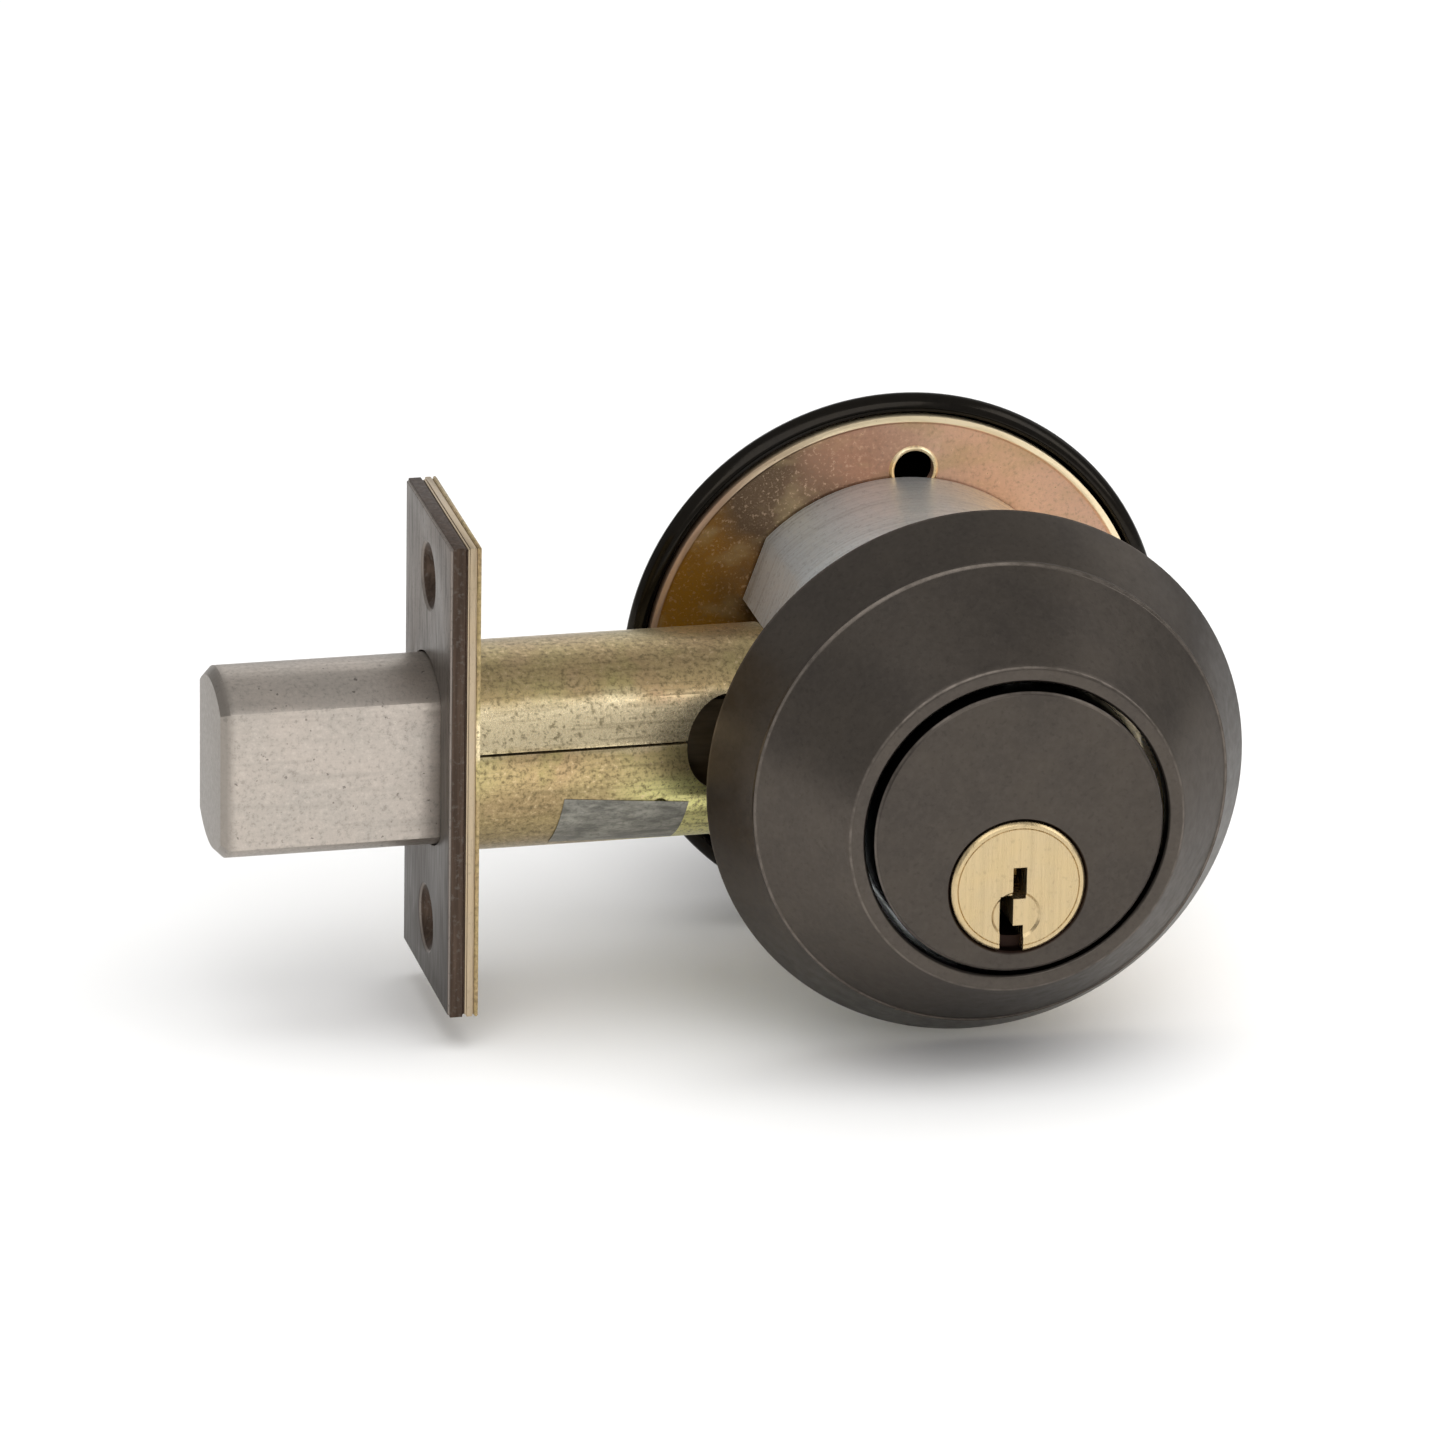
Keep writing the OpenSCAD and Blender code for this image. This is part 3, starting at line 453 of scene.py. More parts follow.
def iridescent_zinc(name, base):
    """Heavy passivate on the mounting plate: burnt orange on one side, through gold, to rose,
    painted darker towards the lower left as shade and brighter towards the upper right as light,
    with a painted highlight along the raised lip.
    """
    slant, drift = 0.55, 16 * MM
    lip = span("mounting_plate")[1].x - sizes().lip_width
    f = Finish(name, 0.62)
    # The hue runs from burnt orange through gold to rose; the darkening towards the lower left is
    # painted shade and the brightening towards the upper right painted light.
    across = f.maths("ADD", f.axis("X"), f.maths("MULTIPLY", f.axis("Z"), slant))
    across = f.wandering(across, f.noise(9, 3, seed=3), drift)
    tone = f.blend(f.band(across, -19 * MM, -8 * MM), shade_of(base, 0.38, (0.06, -0.04, -0.125)),
                   shade_of(base, 0.12, (0.01, 0.0, -0.01)))
    tone = f.above(tone, across, -3 * MM, 11 * MM, 1, shade_of(base, 0.46, (0.04, -0.03, -0.03)))
    tone = f.above(tone, across, 10 * MM, 26 * MM, 1, shade_of(base, 0.88, (0.03, 0, 0.02)))
    streak = f.noise(4, 3, f.stretched((0.5, 1, 1), (0, math.radians(-40), 0)), seed=1)
    tone = f.above(tone, streak, 0.5, 0.66, 0.45, shade_of(base, 0.6, (0.02, 0.05, -0.03)))
    grit = f.noise(0.55, 4, rough=0.7)
    tone = f.above(tone, grit, 0.52, 0.66, 0.4, shade_of(base, 0.3))
    tone = f.below(tone, grit, 0.34, 0.45, 0.3, shade_of(base, 1.3))
    # Painted highlight along the raised lip, dim to the left and bright gold to the right.
    rolled = f.blend(f.band(across, -12 * MM, 14 * MM), shade_of(base, 0.6),
                     shade_of(base, 1.3, (0.1, 0.16, 0.1)))
    tone = f.above(tone, f.radius(), lip - 0.1 * MM, lip + 0.05 * MM, 0.9, rolled)
    return f.close(tone, f.band(grit, 0.3, 0.7, 0.26, 0.42), f.bump(grit, 0.03, 0.5))


def gold_zinc(name, base):
    """Bright gold passivate, as it lies thick on rolled hole rims."""
    f = Finish(name, 0.95)
    grit = f.noise(0.5, 3)
    tone = f.blend(f.band(f.noise(3, 2), 0.35, 0.65), shade_of(base, 1.05, (0.1, 0.1, -0.05)),
                   shade_of(base, 1.35, (0.15, 0.16, 0.1)))
    tone = f.above(tone, grit, 0.55, 0.68, 0.5, shade_of(base, 0.5))
    return f.close(tone, f.band(grit, 0.3, 0.7, 0.25, 0.4), f.bump(grit, 0.02, 0.4))


def turned_zinc(name, base):
    """Cast zinc turned round Y: fine rings, a painted highlight in blue-grey on one side and a rosy
    tone on the other, partly its own tint and partly a painted reflection of the plate.
    """
    f = Finish(name, 0.8)
    rings = f.noise(0.55, 3, f.stretched((0.02, 1, 0.02)))
    tone = f.blend(f.band(f.noise(10, 2, seed=6), 0.4, 0.6), shade_of(base, 0.92, (-0.03, 0, 0.01)),
                   shade_of(base, 1.06, (0.02, 0.0, 0.0)))
    # Painted highlight: lighter and bluer towards negative X.
    tone = f.blend(f.band(f.axis("X"), -10 * MM, -2 * MM), shade_of(base, 1.3, (-0.05, 0, 0.04)),
                   tone)
    # Rosy towards positive X: partly its own tint, partly a painted reflection of the plate.
    tone = f.above(tone, f.axis("X"), 3 * MM, 12 * MM, 0.9, shade_of(base, 1.4, (0.1, -0.2, -0.46)))
    tone = f.above(tone, rings, 0.45, 0.66, 0.45, shade_of(base, 0.55))
    grit = f.noise(0.55, 4, seed=8, rough=0.7)
    tone = f.above(tone, grit, 0.52, 0.66, 0.5, shade_of(base, 0.55))
    tone = f.below(tone, grit, 0.34, 0.45, 0.4, shade_of(base, 1.25))
    normal = f.bump(grit, 0.03, 0.5)
    return f.close(tone, f.band(grit, 0.3, 0.7, 0.32, 0.48), f.bump(rings, 0.04, 0.5, normal))


def brushed_brass(name, base, along=(1, 1, 0.03), rough=0.26):
    """Brass brushed up and down."""
    f = Finish(name, 0.95)
    brush = f.noise(0.4, 3, f.stretched(along))
    tone = f.blend(f.band(brush, 0.35, 0.65), shade_of(base, 0.88), shade_of(base, 1.06))
    tone = f.above(tone, f.noise(4, 2), 0.4, 0.7, 0.4, shade_of(base, 1.02, (0.03, 0, -0.04)))
    tone = f.above(tone, f.noise(0.6, 3, seed=3), 0.58, 0.7, 0.4, shade_of(base, 0.6))
    return f.close(tone, f.band(brush, 0.3, 0.7, rough - 0.06, rough + 0.1),
                   f.bump(brush, 0.02, 0.5))


def plain_metal(name, base, rough=0.34, streak=(1, 0.1, 1), metallic=0.92):
    """Turned or ground metal with light machining lines."""
    f = Finish(name, metallic)
    lines = f.noise(0.4, 3, f.stretched(streak))
    tone = f.blend(f.band(lines, 0.35, 0.68), shade_of(base, 0.78), shade_of(base, 1.14))
    tone = f.above(tone, f.noise(3, 3, seed=2), 0.45, 0.7, 0.4,
                   shade_of(base, 0.65, (0.01, 0, -0.01)))
    return f.close(tone, f.band(lines, 0.3, 0.7, rough - 0.06, rough + 0.08),
                   f.bump(lines, 0.015, 0.4))


def moulded_nylon(name, base):
    """Natural nylon with a fine moulded texture."""
    f = Finish(name, 0.0)
    grain = f.noise(0.4, 2)
    tone = f.blend(f.band(f.noise(5, 2), 0.3, 0.7), shade_of(base, 0.9), shade_of(base, 1.03))
    return f.close(tone, f.band(grain, 0.3, 0.7, 0.45, 0.6), f.bump(grain, 0.015, 0.4))


def creased_foil(name, base):
    """Dull foil with fine creases and scuffed patches."""
    f = Finish(name, 0.75)
    crease = f.noise(1.2, 5, f.stretched((0.35, 1, 1)), rough=0.7)
    tone = f.blend(f.band(crease, 0.4, 0.62), shade_of(base, 0.5), shade_of(base, 1.2))
    tone = f.above(tone, f.noise(0.5, 3, seed=6), 0.52, 0.66, 0.5, shade_of(base, 0.4))
    return f.close(tone, f.band(crease, 0.3, 0.7, 0.3, 0.5), f.bump(crease, 0.04, 0.6))


def studio_floor(name, base):
    """Pale matt floor with almost no texture."""
    f = Finish(name, 0.0, 0.1)
    tone = f.blend(f.band(f.noise(300, 2), 0.3, 0.7), shade_of(base, 0.99), shade_of(base, 1.01))
    return f.close(tone, f.band(f.noise(40, 2), 0.3, 0.7, 0.78, 0.86))


OWN_FINISH = {"cheek_rivets": "zinc_yellow"}
# Inset of the painted highlight line inside the edge of the cylinder's face.
HIGHLIGHT_INSET = 0.12 * MM


def finish_for(finish):
    """The material of one of the finishes, made once."""
    slot = finish + "_finish"
    made = bpy.data.materials.get(slot)
    if made:
        return made
    c = colours()
    makers = {
        "dark_bronze": lambda: satin_bronze(slot, c.dark_bronze),
        # The collar and the cylinder's face carry painted highlights along their rims and painted
        # shade in the open ring between them.
        "collar_bronze": lambda: satin_bronze(slot, c.dark_bronze, rims=collar_rims(),
                                              gap=ring_gap()),
        "disc_bronze": lambda: satin_bronze(slot, shade_of(c.dark_bronze, 0.86),
                                            rims=(ring_gap()[0] - HIGHLIGHT_INSET,), gap=ring_gap()),
        "black_bronze": lambda: satin_bronze(slot, c.black_bronze, 0.15, 0.85),
        "face_bronze": lambda: faceplate_bronze(slot, c.face_bronze),
        "backing_brass": lambda: brushed_brass(slot, c.backing_brass, (1, 1, 0.1), 0.32),
        "gold_lip": lambda: gold_zinc(slot, c.plate_zinc),
        # Painted shade for the cheeks inside the tube.
        "shaded_case_zinc": lambda: plain_metal(slot, c.shaded_case_zinc, 0.4, (0.1, 1, 1), 0.8),
        "bolt_nickel": lambda: blasted_nickel(slot, c.bolt_nickel),
        "zinc_yellow": lambda: yellow_zinc(slot, c.zinc_yellow),
        "plate_zinc": lambda: iridescent_zinc(slot, c.plate_zinc),
        "zinc_casting": lambda: turned_zinc(slot, c.zinc_casting),
        "plug_brass": lambda: brushed_brass(slot, c.plug_brass),
        "pin_brass": lambda: plain_metal(slot, c.pin_brass, 0.3, (1, 1, 0.1)),
        "label_foil": lambda: creased_foil(slot, c.label_foil),
        "nylon": lambda: moulded_nylon(slot, c.nylon),
        "steel": lambda: plain_metal(slot, c.steel),
        "hardened_steel": lambda: plain_metal(slot, shade_of(c.steel, 0.12), 0.3, (0.1, 1, 1)),
        "spring_steel": lambda: plain_metal(slot, shade_of(c.steel, 0.7), 0.3),
    }
    return makers[finish]()


# ---- shaping ----------------------------------------------------------------------------------

# Corners nearer than this are one corner, and faces that turn less than FLAT are one face.
DOUBLED = 1e-7
CAD_DOUBLED = 1e-6
FLAT = math.radians(0.4)


def span(node):
    """Lowest corner, highest corner and middle of a CAD node."""
    low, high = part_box(node)
    return low, high, (low + high) / 2


def half_width(node):
    """Half of a CAD node's size along X: the radius of a round one."""
    low, high, _ = span(node)
    return (high.x - low.x) / 2


def lathe(profile, centre=Vector((0, 0, 0)), along=ALONG_Y, steps=LATHE_STEPS):
    """A closed outline of (radius, place) points, spun a full turn round an axis along Y or Z."""
    bm = bmesh.new()
    across = Vector((1, 0, 0))
    verts = [bm.verts.new(centre + across * r + along * (place - centre.dot(along)))
             for r, place in profile]
    edges = [bm.edges.new((a, b)) for a, b in zip(verts, verts[1:] + verts[:1])]
    bmesh.ops.spin(bm, geom=verts + edges, cent=centre, axis=along, angle=2 * math.pi,
                   steps=steps, use_merge=True, use_duplicate=False)
    bmesh.ops.remove_doubles(bm, verts=bm.verts, dist=DOUBLED)
    loose = [e for e in bm.edges if not e.link_faces]
    bmesh.ops.delete(bm, geom=loose, context="EDGES")
    bmesh.ops.recalc_face_normals(bm, faces=bm.faces)
    return bm


def soften(bm, width, segments=2, angle=SHARP):
    """Rounds every edge that turns more than angle."""
    edges = [e for e in bm.edges if e.is_manifold and e.calc_face_angle(0) > angle]
    bmesh.ops.bevel(bm, geom=edges, offset=width, offset_type="OFFSET", segments=segments,
                    profile=0.5, affect="EDGES", material=-1, clamp_overlap=True)


def copied(node):
    """A merged copy of a CAD node's mesh, with its flat stretches joined into whole faces."""
    bm = bmesh.new()
    bm.from_mesh(frame["nodes"][node].data)
    bmesh.ops.remove_doubles(bm, verts=bm.verts, dist=CAD_DOUBLED)
    bmesh.ops.dissolve_limit(bm, angle_limit=FLAT, verts=bm.verts, edges=bm.edges)
    return bm


def shaded(bm):
    """Smooth faces, with a crisp line at every sharp edge."""
    for face in bm.faces:
        face.smooth = True
    for edge in bm.edges:
        edge.smooth = edge.is_manifold and edge.calc_face_angle(0) < SHARP


def placed(name, bm, material):
    """The bmesh as a shaded object in the scene."""
    shaded(bm)
    mesh = bpy.data.meshes.new(name)
    bm.to_mesh(mesh)
    bm.free()
    piece = bpy.data.objects.new(name, mesh)
    bpy.context.scene.collection.objects.link(piece)
    mesh.materials.append(material)
    return piece


def remeshed(piece, change):
    """Passes the piece's mesh through a bmesh change and shades the result."""
    bm = bmesh.new()
    bm.from_mesh(piece.data)
    change(bm)
    shaded(bm)
    bm.to_mesh(piece.data)
    bm.free()


def drilled(piece, *cutters):
    """Cuts each cutter's bmesh out of the piece and keeps the result as its mesh."""
    material = piece.data.materials[0]
    tools = []
    for bm in cutters:
        tool = placed(piece.name + "_cut", bm, material)
        cut = piece.modifiers.new("cut", "BOOLEAN")
        cut.object = tool
        cut.operation = "DIFFERENCE"
        cut.solver = "EXACT"
        tools.append(tool)
    done = piece.evaluated_get(bpy.context.evaluated_depsgraph_get())
    mesh = bpy.data.meshes.new_from_object(done)
    piece.modifiers.clear()
    piece.data = mesh
    mesh.materials.clear()
    mesh.materials.append(material)
    for tool in tools:
        bpy.data.objects.remove(tool)
    remeshed(piece, lambda bm: bmesh.ops.remove_doubles(bm, verts=bm.verts, dist=DOUBLED))
    return piece


def stands_for(piece, *nodes):
    """The piece rides with these CAD nodes' body and hides them."""
    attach(piece, frame["nodes"][nodes[0]]["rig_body"])
    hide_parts(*nodes)


def refined(node, width, segments=2, finish=None):
    """A detailed stand-in with the CAD node's own shape and rounded edges."""
    bm = copied(node)
    soften(bm, width, segments)
    stands_for(placed(node + "_detail", bm, finish_for(finish or SLOTS[node])), node)


def rod(radius, start, end, centre, along=ALONG_Y):
    """A round bar along an axis, to drill with."""
    return lathe([(0, start), (radius, start), (radius, end), (0, end)], centre, along, ROD_STEPS)


# ---- pieces -----------------------------------------------------------------------------------

TUBE_EDGE = 0.08 * MM
PLATE_EDGE = 0.09 * MM
PLUG_EDGE = 0.1 * MM
CHEEK_EDGE = 0.12 * MM
CAST_EDGE = 0.15 * MM
CRANK_EDGE = 0.2 * MM
GRIP_EDGE = 0.5 * MM
CUT_MARGIN = 1 * MM


def ring_gap():
    """Radii of the open ring between the cylinder's face and the collar."""
    face = span("cylinder_shell")[1].x
    return face, face + sizes().face_gap


def collar_rims():
    """Radii of the collar's rim, crease and front ring, where its finish paints highlight lines."""
    rim = span("outside_collar")[1].x
    front = ring_gap()[1] + sizes().front_land
    return rim, rim - sizes().band_inset, front


class DEADBOLT_OT_outside_collar(bpy.types.Operator):
    """Turn the tapered outside collar with its crease ridge and front ring"""

    bl_idname = "deadbolt.outside_collar"
    bl_label = "Outside Collar"

    def execute(self, context):
        s = sizes()
        low, high, _ = span("outside_collar")
        rim, crease, crest = collar_rims()
        opening = crest - s.front_land
        crease_y = high.y - s.band_height
        inner_y = low.y + s.collar_wall
        slope = (crease - crest) / (crease_y - low.y)
        corner, crest_width = 0.3 * MM, 0.5 * MM
        bead, bead_base, bead_height, bead_foot = 0.22 * MM, 0.2 * MM, 0.4 * MM, 0.05 * MM
        step_start, step_end, step_lean = 0.08 * MM, 0.2 * MM, 0.1 * MM
        bm = lathe([
            # The rim against the door.
            (rim - s.collar_wall, high.y), (rim - corner, high.y), (rim, high.y - corner),
            # The bead at the crease and the step under it.
            (crease + bead, crease_y + bead_height), (crease + bead_base, crease_y + bead_foot),
            (crease - s.ridge, crease_y - step_start),
            (crease - s.ridge - step_lean, crease_y - step_end),
            # The cone's end, rounded over into the flat front ring.
            (crest + slope * crest_width + 0.02 * MM, low.y + crest_width),
            (crest + 0.05 * MM, low.y + 0.12 * MM), (crest - 0.25 * MM, low.y),
            (opening + corner, low.y), (opening, low.y + corner),
            # The hollow inside.
            (opening, inner_y), (crest - crest_width, inner_y),
            (crease - s.collar_wall, crease_y)])
        soften(bm, 0.08 * MM, angle=math.radians(18))
        stands_for(placed("collar_shell", bm, finish_for("collar_bronze")), "outside_collar")
        return {"FINISHED"}


class DEADBOLT_OT_cylinder(bpy.types.Operator):
    """Shape the round cylinder face, the keyed plug and its coil springs"""

    bl_idname = "deadbolt.cylinder"
    bl_label = "Keyed Cylinder"

    def execute(self, context):
        refined("cylinder_shell", sizes().edge_round * 0.6, 3, "disc_bronze")
        self.keyed_plug()
        self.coil_springs()
        return {"FINISHED"}

    def keyed_plug(self):
        """The plug, with a fine ring turned near its rim and a key rest milled at its keyway."""
        s = sizes()
        low, _, _ = span("plug")
        bm = copied("plug")
        soften(bm, PLUG_EDGE)
        piece = placed("plug_detail", bm, finish_for("plug_brass"))
        start = low.y - 0.1 * MM
        ring = half_width("plug") - 0.75 * MM
        half_groove, groove_wall, groove_depth = 0.07 * MM, 0.05 * MM, 0.12 * MM
        groove = lathe([
            (ring - half_groove, start), (ring + half_groove, start),
            (ring + half_groove, low.y + groove_wall), (ring, low.y + groove_depth),
            (ring - half_groove, low.y + groove_wall)], PLUG_AXIS)
        rest_side, rest_top = -0.2 * MM, -0.5 * MM
        milled = lathe([
            (0, start), (s.key_rest, start), (s.key_rest, low.y),
            (s.key_rest - s.key_rest_depth, low.y + s.key_rest_depth),
            (0, low.y + s.key_rest_depth)],
            PLUG_AXIS + Vector((rest_side, 0, rest_top - s.key_rest)), steps=SMALL_STEPS)
        stands_for(drilled(piece, groove, milled), "plug")

    def coil_springs(self):
        """Coils, each wound by a stepped spin up its pin chamber."""
        s = sizes()
        chambers, steps_per_turn, wire_sides = 5, 16, 8
        low, high, _ = span("pin_springs")
        pins = span("driver_pins")
        outer = half_width("pin_springs")
        pitch = (pins[1].y - pins[0].y - 2 * pins[1].x) / (chambers - 1)
        first = pins[0].y + pins[1].x
        steps = s.spring_turns * steps_per_turn
        rise = (high.z - low.z - 2 * s.spring_wire) / steps
        bm = bmesh.new()
        for i in range(chambers):
            centre = Vector((0, first + i * pitch, low.z + s.spring_wire))
            turn = Matrix.Translation(centre + Vector((outer - s.spring_wire, 0, 0)))
            turn = turn @ Matrix.Rotation(math.pi / 2, 4, "X")
            ring = bmesh.ops.create_circle(bm, cap_ends=True, radius=s.spring_wire,
                                           segments=wire_sides, matrix=turn)["verts"]
            face = ring[0].link_faces[0]
            bmesh.ops.spin(bm, geom=[face], cent=centre, axis=(0, 0, 1), dvec=(0, 0, rise),
                           angle=s.spring_turns * 2 * math.pi, steps=steps, use_duplicate=False)
        bmesh.ops.recalc_face_normals(bm, faces=bm.faces)
        stands_for(placed("coil_springs", bm, finish_for("spring_steel")), "pin_springs")


class DEADBOLT_OT_housing(bpy.types.Operator):
    """Round the edges of the turned zinc housing that fills the door's bore"""

    bl_idname = "deadbolt.housing"
    bl_label = "Housing"

    def execute(self, context):
        refined("cylinder_housing", CAST_EDGE)
        return {"FINISHED"}


class DEADBOLT_OT_edge_plates(bpy.types.Operator):
    """Round the edges of the faceplate and its backing plate"""

    bl_idname = "deadbolt.edge_plates"
    bl_label = "Edge Plates"

    def execute(self, context):
        refined("faceplate", sizes().plate_round, 3)
        refined("backing_plate", sizes().plate_round * 0.7)
        return {"FINISHED"}


class DEADBOLT_OT_bolt_case(bpy.types.Operator):
    """Round the edges of the bolt tube and its cheeks, and bend the blank label"""

    bl_idname = "deadbolt.bolt_case"
    bl_label = "Bolt Case"

    def execute(self, context):
        refined("bolt_tube", TUBE_EDGE)
        self.blank_label()
        for node in ("outer_cheek", "inner_cheek"):
            # The cheeks take near-black painted shade.
            refined(node, CHEEK_EDGE, finish="shaded_case_zinc")
        return {"FINISHED"}

    def blank_label(self):
        """A plain foil label, bent round the tube a little askew."""
        s = sizes()
        lift, thickness = 0.005 * MM, 0.08 * MM
        low, high, middle = span("foil_label")
        tube = span("deadbolt")[1].z + s.tube_wall + lift
        down = math.atan2(-middle.z, -middle.y) + s.label_drop
        length = high.x - low.x - 2 * s.label_margin
        bm = bmesh.new()
        bmesh.ops.create_grid(bm, x_segments=8, y_segments=24, size=0.5)
        bmesh.ops.scale(bm, verts=bm.verts, vec=(length, s.label_height, 1))
        bmesh.ops.rotate(bm, verts=bm.verts, cent=(0, 0, 0),
                         matrix=Matrix.Rotation(-s.label_skew, 3, "Z"))
        bmesh.ops.solidify(bm, geom=bm.faces, thickness=thickness)
        lowest = min(v.co.z for v in bm.verts)
        for vert in bm.verts:
            turn = down - vert.co.y / tube
            reach = tube + vert.co.z - lowest
            vert.co = (middle.x + vert.co.x, -reach * math.cos(turn), -reach * math.sin(turn))
        bmesh.ops.recalc_face_normals(bm, faces=bm.faces)
        stands_for(placed("blank_label", bm, finish_for("label_foil")), "foil_label")


class DEADBOLT_OT_bolt(bpy.types.Operator):
    """Round the edges of the deadbolt, its tail and the crank that drives it"""

    bl_idname = "deadbolt.bolt"
    bl_label = "Deadbolt"

    def execute(self, context):
        refined("deadbolt", sizes().edge_round, 3)
        refined("bolt_tail", CAST_EDGE)
        refined("crank", CRANK_EDGE)
        return {"FINISHED"}


class DEADBOLT_OT_inside_trim(bpy.types.Operator):
    """Shape the dished mounting plate, its rolled hole rims, the rose and the thumbturn"""

    bl_idname = "deadbolt.inside_trim"
    bl_label = "Inside Trim"

    def execute(self, context):
        self.mounting_plate()
        self.hole_rims()
        self.rose()
        refined("thumbturn", GRIP_EDGE, 4)
        return {"FINISHED"}

    def mounting_plate(self):
        """The plate, with its field pressed back to leave a lip round the rim."""
        s = sizes()
        low, high, _ = span("mounting_plate")
        field, floor = high.x - s.lip_width, low.y + s.lip_height
        piece = placed("plate_detail", copied("mounting_plate"), finish_for("plate_zinc"))
        pressing = lathe([(0, low.y - CUT_MARGIN), (field, low.y - CUT_MARGIN), (field, low.y),
                          (field - s.lip_height, floor), (0, floor)])
        drilled(piece, pressing)
        remeshed(piece, lambda bm: soften(bm, PLATE_EDGE))
        stands_for(piece, "mounting_plate")

    def rose(self):
        """The turned rose, bored for the thumbturn's bushing and its set screw."""
        s = sizes()
        low, high, _ = span("inside_rose")
        rim, wall = high.x, s.rose_wall
        inner = rim - wall
        flat_end, shoulder, shoulder_drop = rim - 11 * MM, rim - 9 * MM, 0.6 * MM
        slope_foot, slope_inset, hollow_foot = 4 * MM, 1.4 * MM, 3.4 * MM
        skirt, corner, inner_break = 2 * MM, 1 * MM, 0.4 * MM
        shell = lathe([
            # The flat end, its shoulder, the slope and the skirt against the plate.
            (0, high.y), (flat_end, high.y), (shoulder, high.y - shoulder_drop),
            (rim - slope_inset, low.y + slope_foot), (rim, low.y + skirt), (rim, low.y + corner),
            (rim - corner, low.y), (inner - inner_break, low.y),
            # The hollow inside.
            (inner, low.y + skirt), (inner - slope_inset, low.y + hollow_foot),
            (flat_end, high.y - wall), (0, high.y - wall)])
        soften(shell, 2 * s.edge_round, 4, math.radians(12))
        piece = placed("rose_shell", shell, finish_for("black_bronze"))
        bore_radius, screw_reach = half_width("thumbturn_bushing") + 0.06 * MM, wall + 3 * MM
        bore = rod(bore_radius, low.y, high.y + CUT_MARGIN, PLUG_AXIS)
        screw_place = Vector((0, span("rose_set_screw")[2].y, 0))
        screw_hole = rod(half_width("rose_set_screw"), low.z - CUT_MARGIN, low.z + screw_reach,
                         screw_place, ALONG_Z)
        stands_for(drilled(piece, bore, screw_hole), "inside_rose")

    def hole_rims(self):
        """Bright rolled rims round the two open holes, in one piece."""
        s = sizes()
        face = span("mounting_plate")[0].y
        floor, hole = face + s.lip_height, s.spare_hole
        rim_depth, crown, roll, spread = 0.6 * MM, 0.3 * MM, 0.12 * MM, 0.6 * MM
        rims = bmesh.new()
        for side in (0, math.pi):
            turn = s.spare_turn + side
            centre = Vector((math.sin(turn), 0, math.cos(turn))) * s.spare_radius
            ring = lathe([
                (hole, floor + rim_depth), (hole, face + 0.1 * MM), (hole + roll, face + 0.02 * MM),
                (hole + crown, face + 0.04 * MM), (hole + spread - 0.05 * MM, floor - 0.05 * MM),
                (hole + spread, floor + 0.05 * MM)], centre, steps=SMALL_STEPS)
            mesh = bpy.data.meshes.new("rim")
            ring.to_mesh(mesh)
            ring.free()
            rims.from_mesh(mesh)
            bpy.data.meshes.remove(mesh)
        piece = placed("hole_rims", rims, finish_for("gold_lip"))
        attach(piece, frame["nodes"]["mounting_plate"]["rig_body"])


class DEADBOLT_OT_works(bpy.types.Operator):
    """Give every carried-over part of the frame its finish"""

    bl_idname = "deadbolt.works"
    bl_label = "Inner Works"

    def execute(self, context):
        for name, node in frame["nodes"].items():
            if node.hide_render:
                continue
            node.data.materials.clear()
            node.data.materials.append(finish_for(OWN_FINISH.get(name, SLOTS[name])))
        return {"FINISHED"}


# ---- stage ------------------------------------------------------------------------------------

VIEW_AZIMUTH = math.radians(-13.47)
VIEW_ELEVATION = math.radians(20.25)
VIEW_ROLL = math.radians(0.96)
VIEW_DISTANCE = 1.31
VIEW_TARGET = Vector((-0.02534, 0, 0.00069))
LENS_PER_METRE = 215.04
SENSOR_WIDTH = 36
FAR_CLIP = 20
FLOOR_HALF = 4
FLOOR_DROP = 0.2 * MM
SKY_GLOW = 0.42
# Name, compass and height angles in degrees, distance, width and height in metres, brightness,
# and whether metal mirrors it.
SOFTBOXES = (
    ("front_box", -13, 42, 1.2, 1.3, 0.95, 1.6, True),
    ("back_box", 155, 24, 1.6, 2.8, 1.0, 0.62, True),
    ("right_box", 70, 30, 1.4, 0.5, 1.0, 2.2, True),
    ("top_wash", 20, 80, 1.6, 1.8, 1.8, 2.0, False),
)


def studio_camera():
    """A long lens from the lock's outdoor side, up and to the left."""
    back = Vector((math.sin(VIEW_AZIMUTH) * math.cos(VIEW_ELEVATION),
                   -math.cos(VIEW_AZIMUTH) * math.cos(VIEW_ELEVATION), math.sin(VIEW_ELEVATION)))
    right = Vector((math.cos(VIEW_AZIMUTH), math.sin(VIEW_AZIMUTH), 0))
    up = back.cross(right)
    turn = Matrix((right, up, back)).transposed() @ Matrix.Rotation(VIEW_ROLL, 3, "Z")
    data = bpy.data.cameras.new("studio_camera")
    data.sensor_width = SENSOR_WIDTH
    data.lens = LENS_PER_METRE * VIEW_DISTANCE
    data.clip_end = FAR_CLIP
    camera = bpy.data.objects.new("studio_camera", data)
    camera.matrix_world = Matrix.Translation(VIEW_TARGET + back * VIEW_DISTANCE) @ turn.to_4x4()
    bpy.context.scene.collection.objects.link(camera)
    bpy.context.scene.camera = camera


def softbox(name, azimuth, elevation, distance, width, height, glow, mirrored):
    """A rectangular light aimed at the lock, as bright as glow wherever it stands."""
    data = bpy.data.lights.new(name, "AREA")
    data.shape = "RECTANGLE"
    data.size = width
    data.size_y = height
    data.energy = glow * math.pi * width * height
    light = bpy.data.objects.new(name, data)
    az, el = math.radians(azimuth), math.radians(elevation)
    place = Vector((math.sin(az) * math.cos(el), -math.cos(az) * math.cos(el), math.sin(el)))
    light.location = place * distance
    light.rotation_euler = (-place).to_track_quat("-Z", "Y").to_euler()
    light.visible_glossy = mirrored
    bpy.context.scene.collection.objects.link(light)


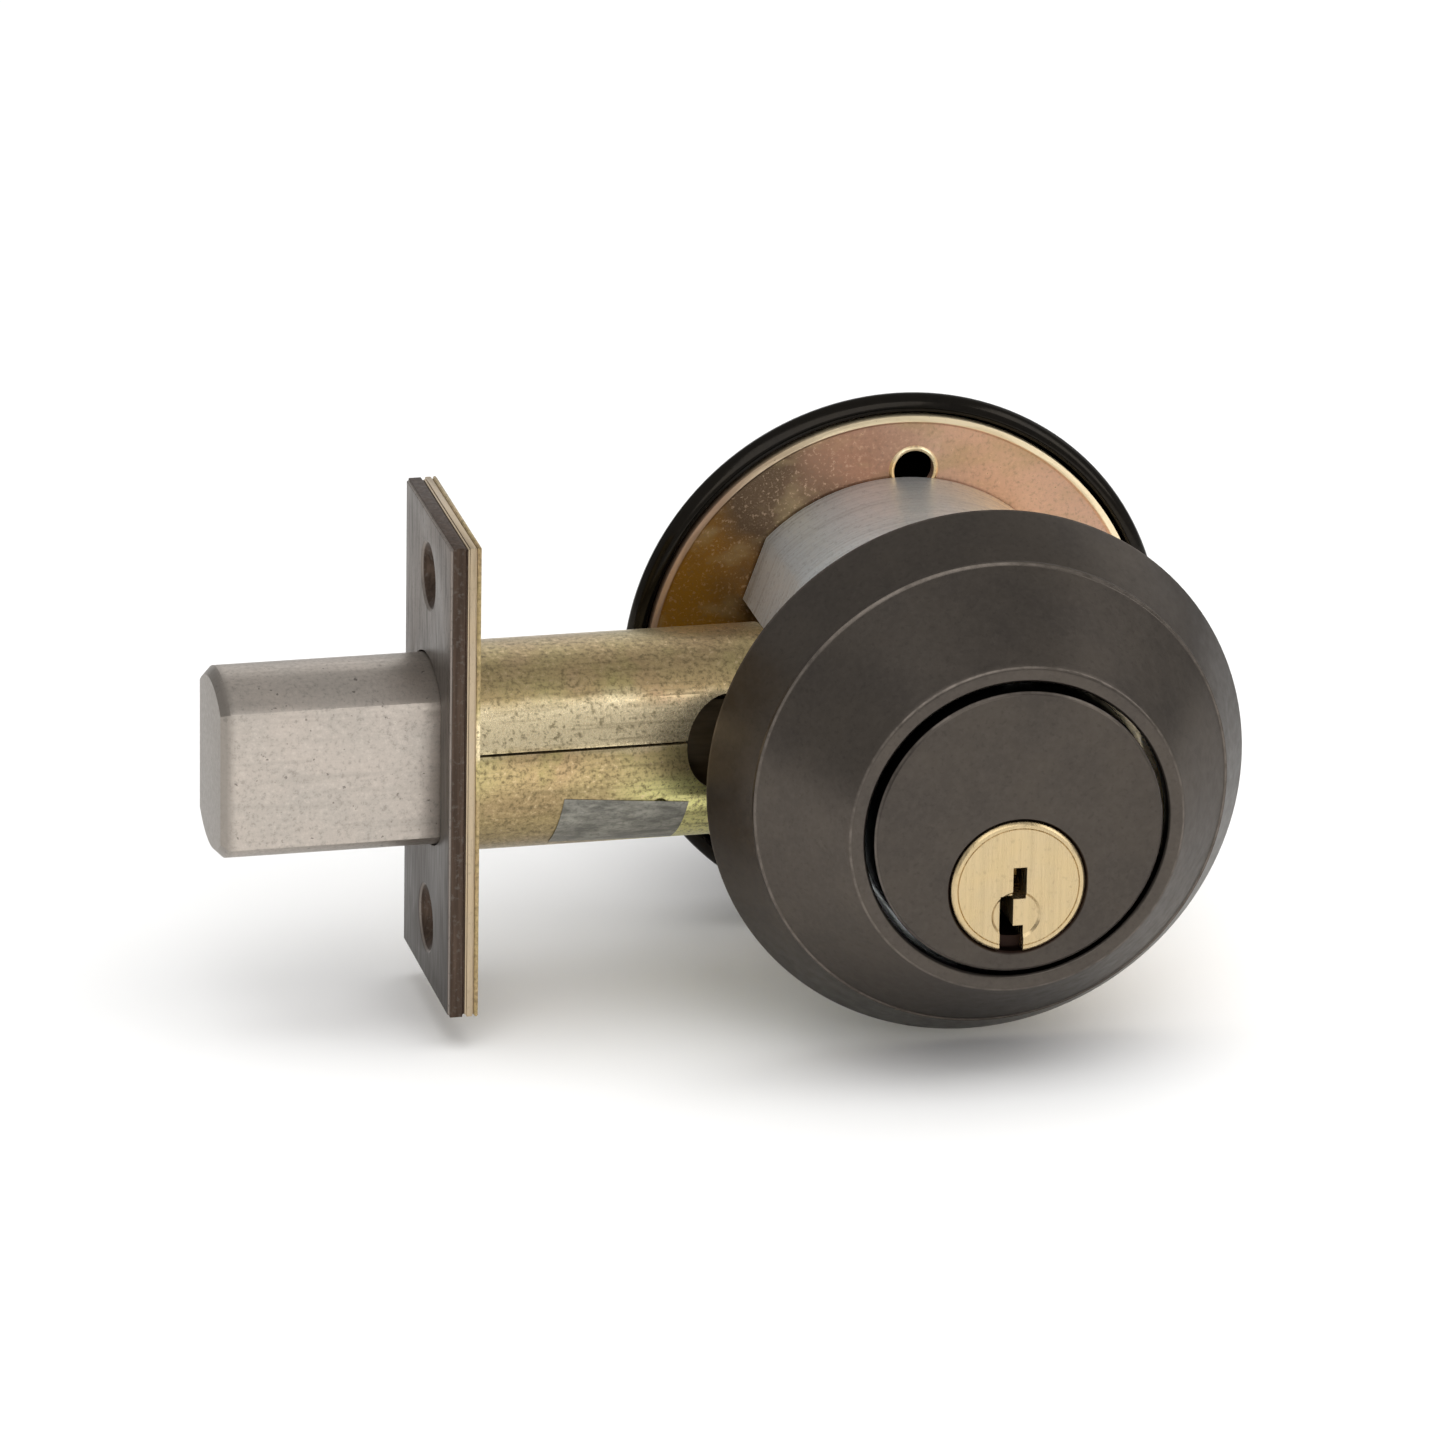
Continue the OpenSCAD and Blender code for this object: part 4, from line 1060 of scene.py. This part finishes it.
class DEADBOLT_OT_stage(bpy.types.Operator):
    """Add the pale floor, the softboxes, the sky light and the camera"""

    bl_idname = "deadbolt.stage"
    bl_label = "Studio Stage"

    def execute(self, context):
        scene = context.scene
        bm = bmesh.new()
        bmesh.ops.create_grid(bm, x_segments=1, y_segments=1, size=FLOOR_HALF)
        bmesh.ops.translate(bm, verts=bm.verts, vec=(0, 0, CAD_BOX[0][2] - FLOOR_DROP))
        floor = placed("studio_floor", bm, studio_floor("studio_floor", colours().floor))
        for row in SOFTBOXES:
            softbox(*row)
        scene.world = bpy.data.worlds.new("studio_sky")
        scene.world.use_nodes = True
        sky = scene.world.node_tree.nodes["Background"]
        sky.inputs["Color"].default_value = (1, 1, 1, 1)
        sky.inputs["Strength"].default_value = SKY_GLOW
        scene.view_settings.view_transform = "Standard"
        studio_camera()
        return {"FINISHED"}


class DEADBOLT_PT_panel(bpy.types.Panel):
    """Lists the deadbolt's pieces, sizes and colours"""

    bl_label = "Deadbolt"
    bl_idname = "DEADBOLT_PT_panel"
    bl_space_type = "VIEW_3D"
    bl_region_type = "UI"
    bl_category = "Deadbolt"

    def draw(self, context):
        for operator in STEPS:
            self.layout.operator(operator.bl_idname)
        for group in (sizes(), colours()):
            box = self.layout.box()
            for name in group.__annotations__:
                box.prop(group, name)


STEPS = (DEADBOLT_OT_stage, DEADBOLT_OT_outside_collar, DEADBOLT_OT_cylinder, DEADBOLT_OT_housing,
         DEADBOLT_OT_edge_plates, DEADBOLT_OT_bolt_case, DEADBOLT_OT_bolt, DEADBOLT_OT_inside_trim,
         DEADBOLT_OT_works)
CLASSES = (DeadboltSizes, DeadboltColours, *STEPS, DEADBOLT_PT_panel)


def register():
    for cls in CLASSES:
        bpy.utils.register_class(cls)
    bpy.types.Scene.deadbolt_sizes = bpy.props.PointerProperty(type=DeadboltSizes)
    bpy.types.Scene.deadbolt_colours = bpy.props.PointerProperty(type=DeadboltColours)


def unregister():
    del bpy.types.Scene.deadbolt_colours
    del bpy.types.Scene.deadbolt_sizes
    for cls in reversed(CLASSES):
        bpy.utils.unregister_class(cls)


def main():
    """Builds every piece through its operator."""
    register()
    for operator in STEPS:
        group, name = operator.bl_idname.split(".")
        getattr(getattr(bpy.ops, group), name)()


if __name__ == "__main__":
    main()
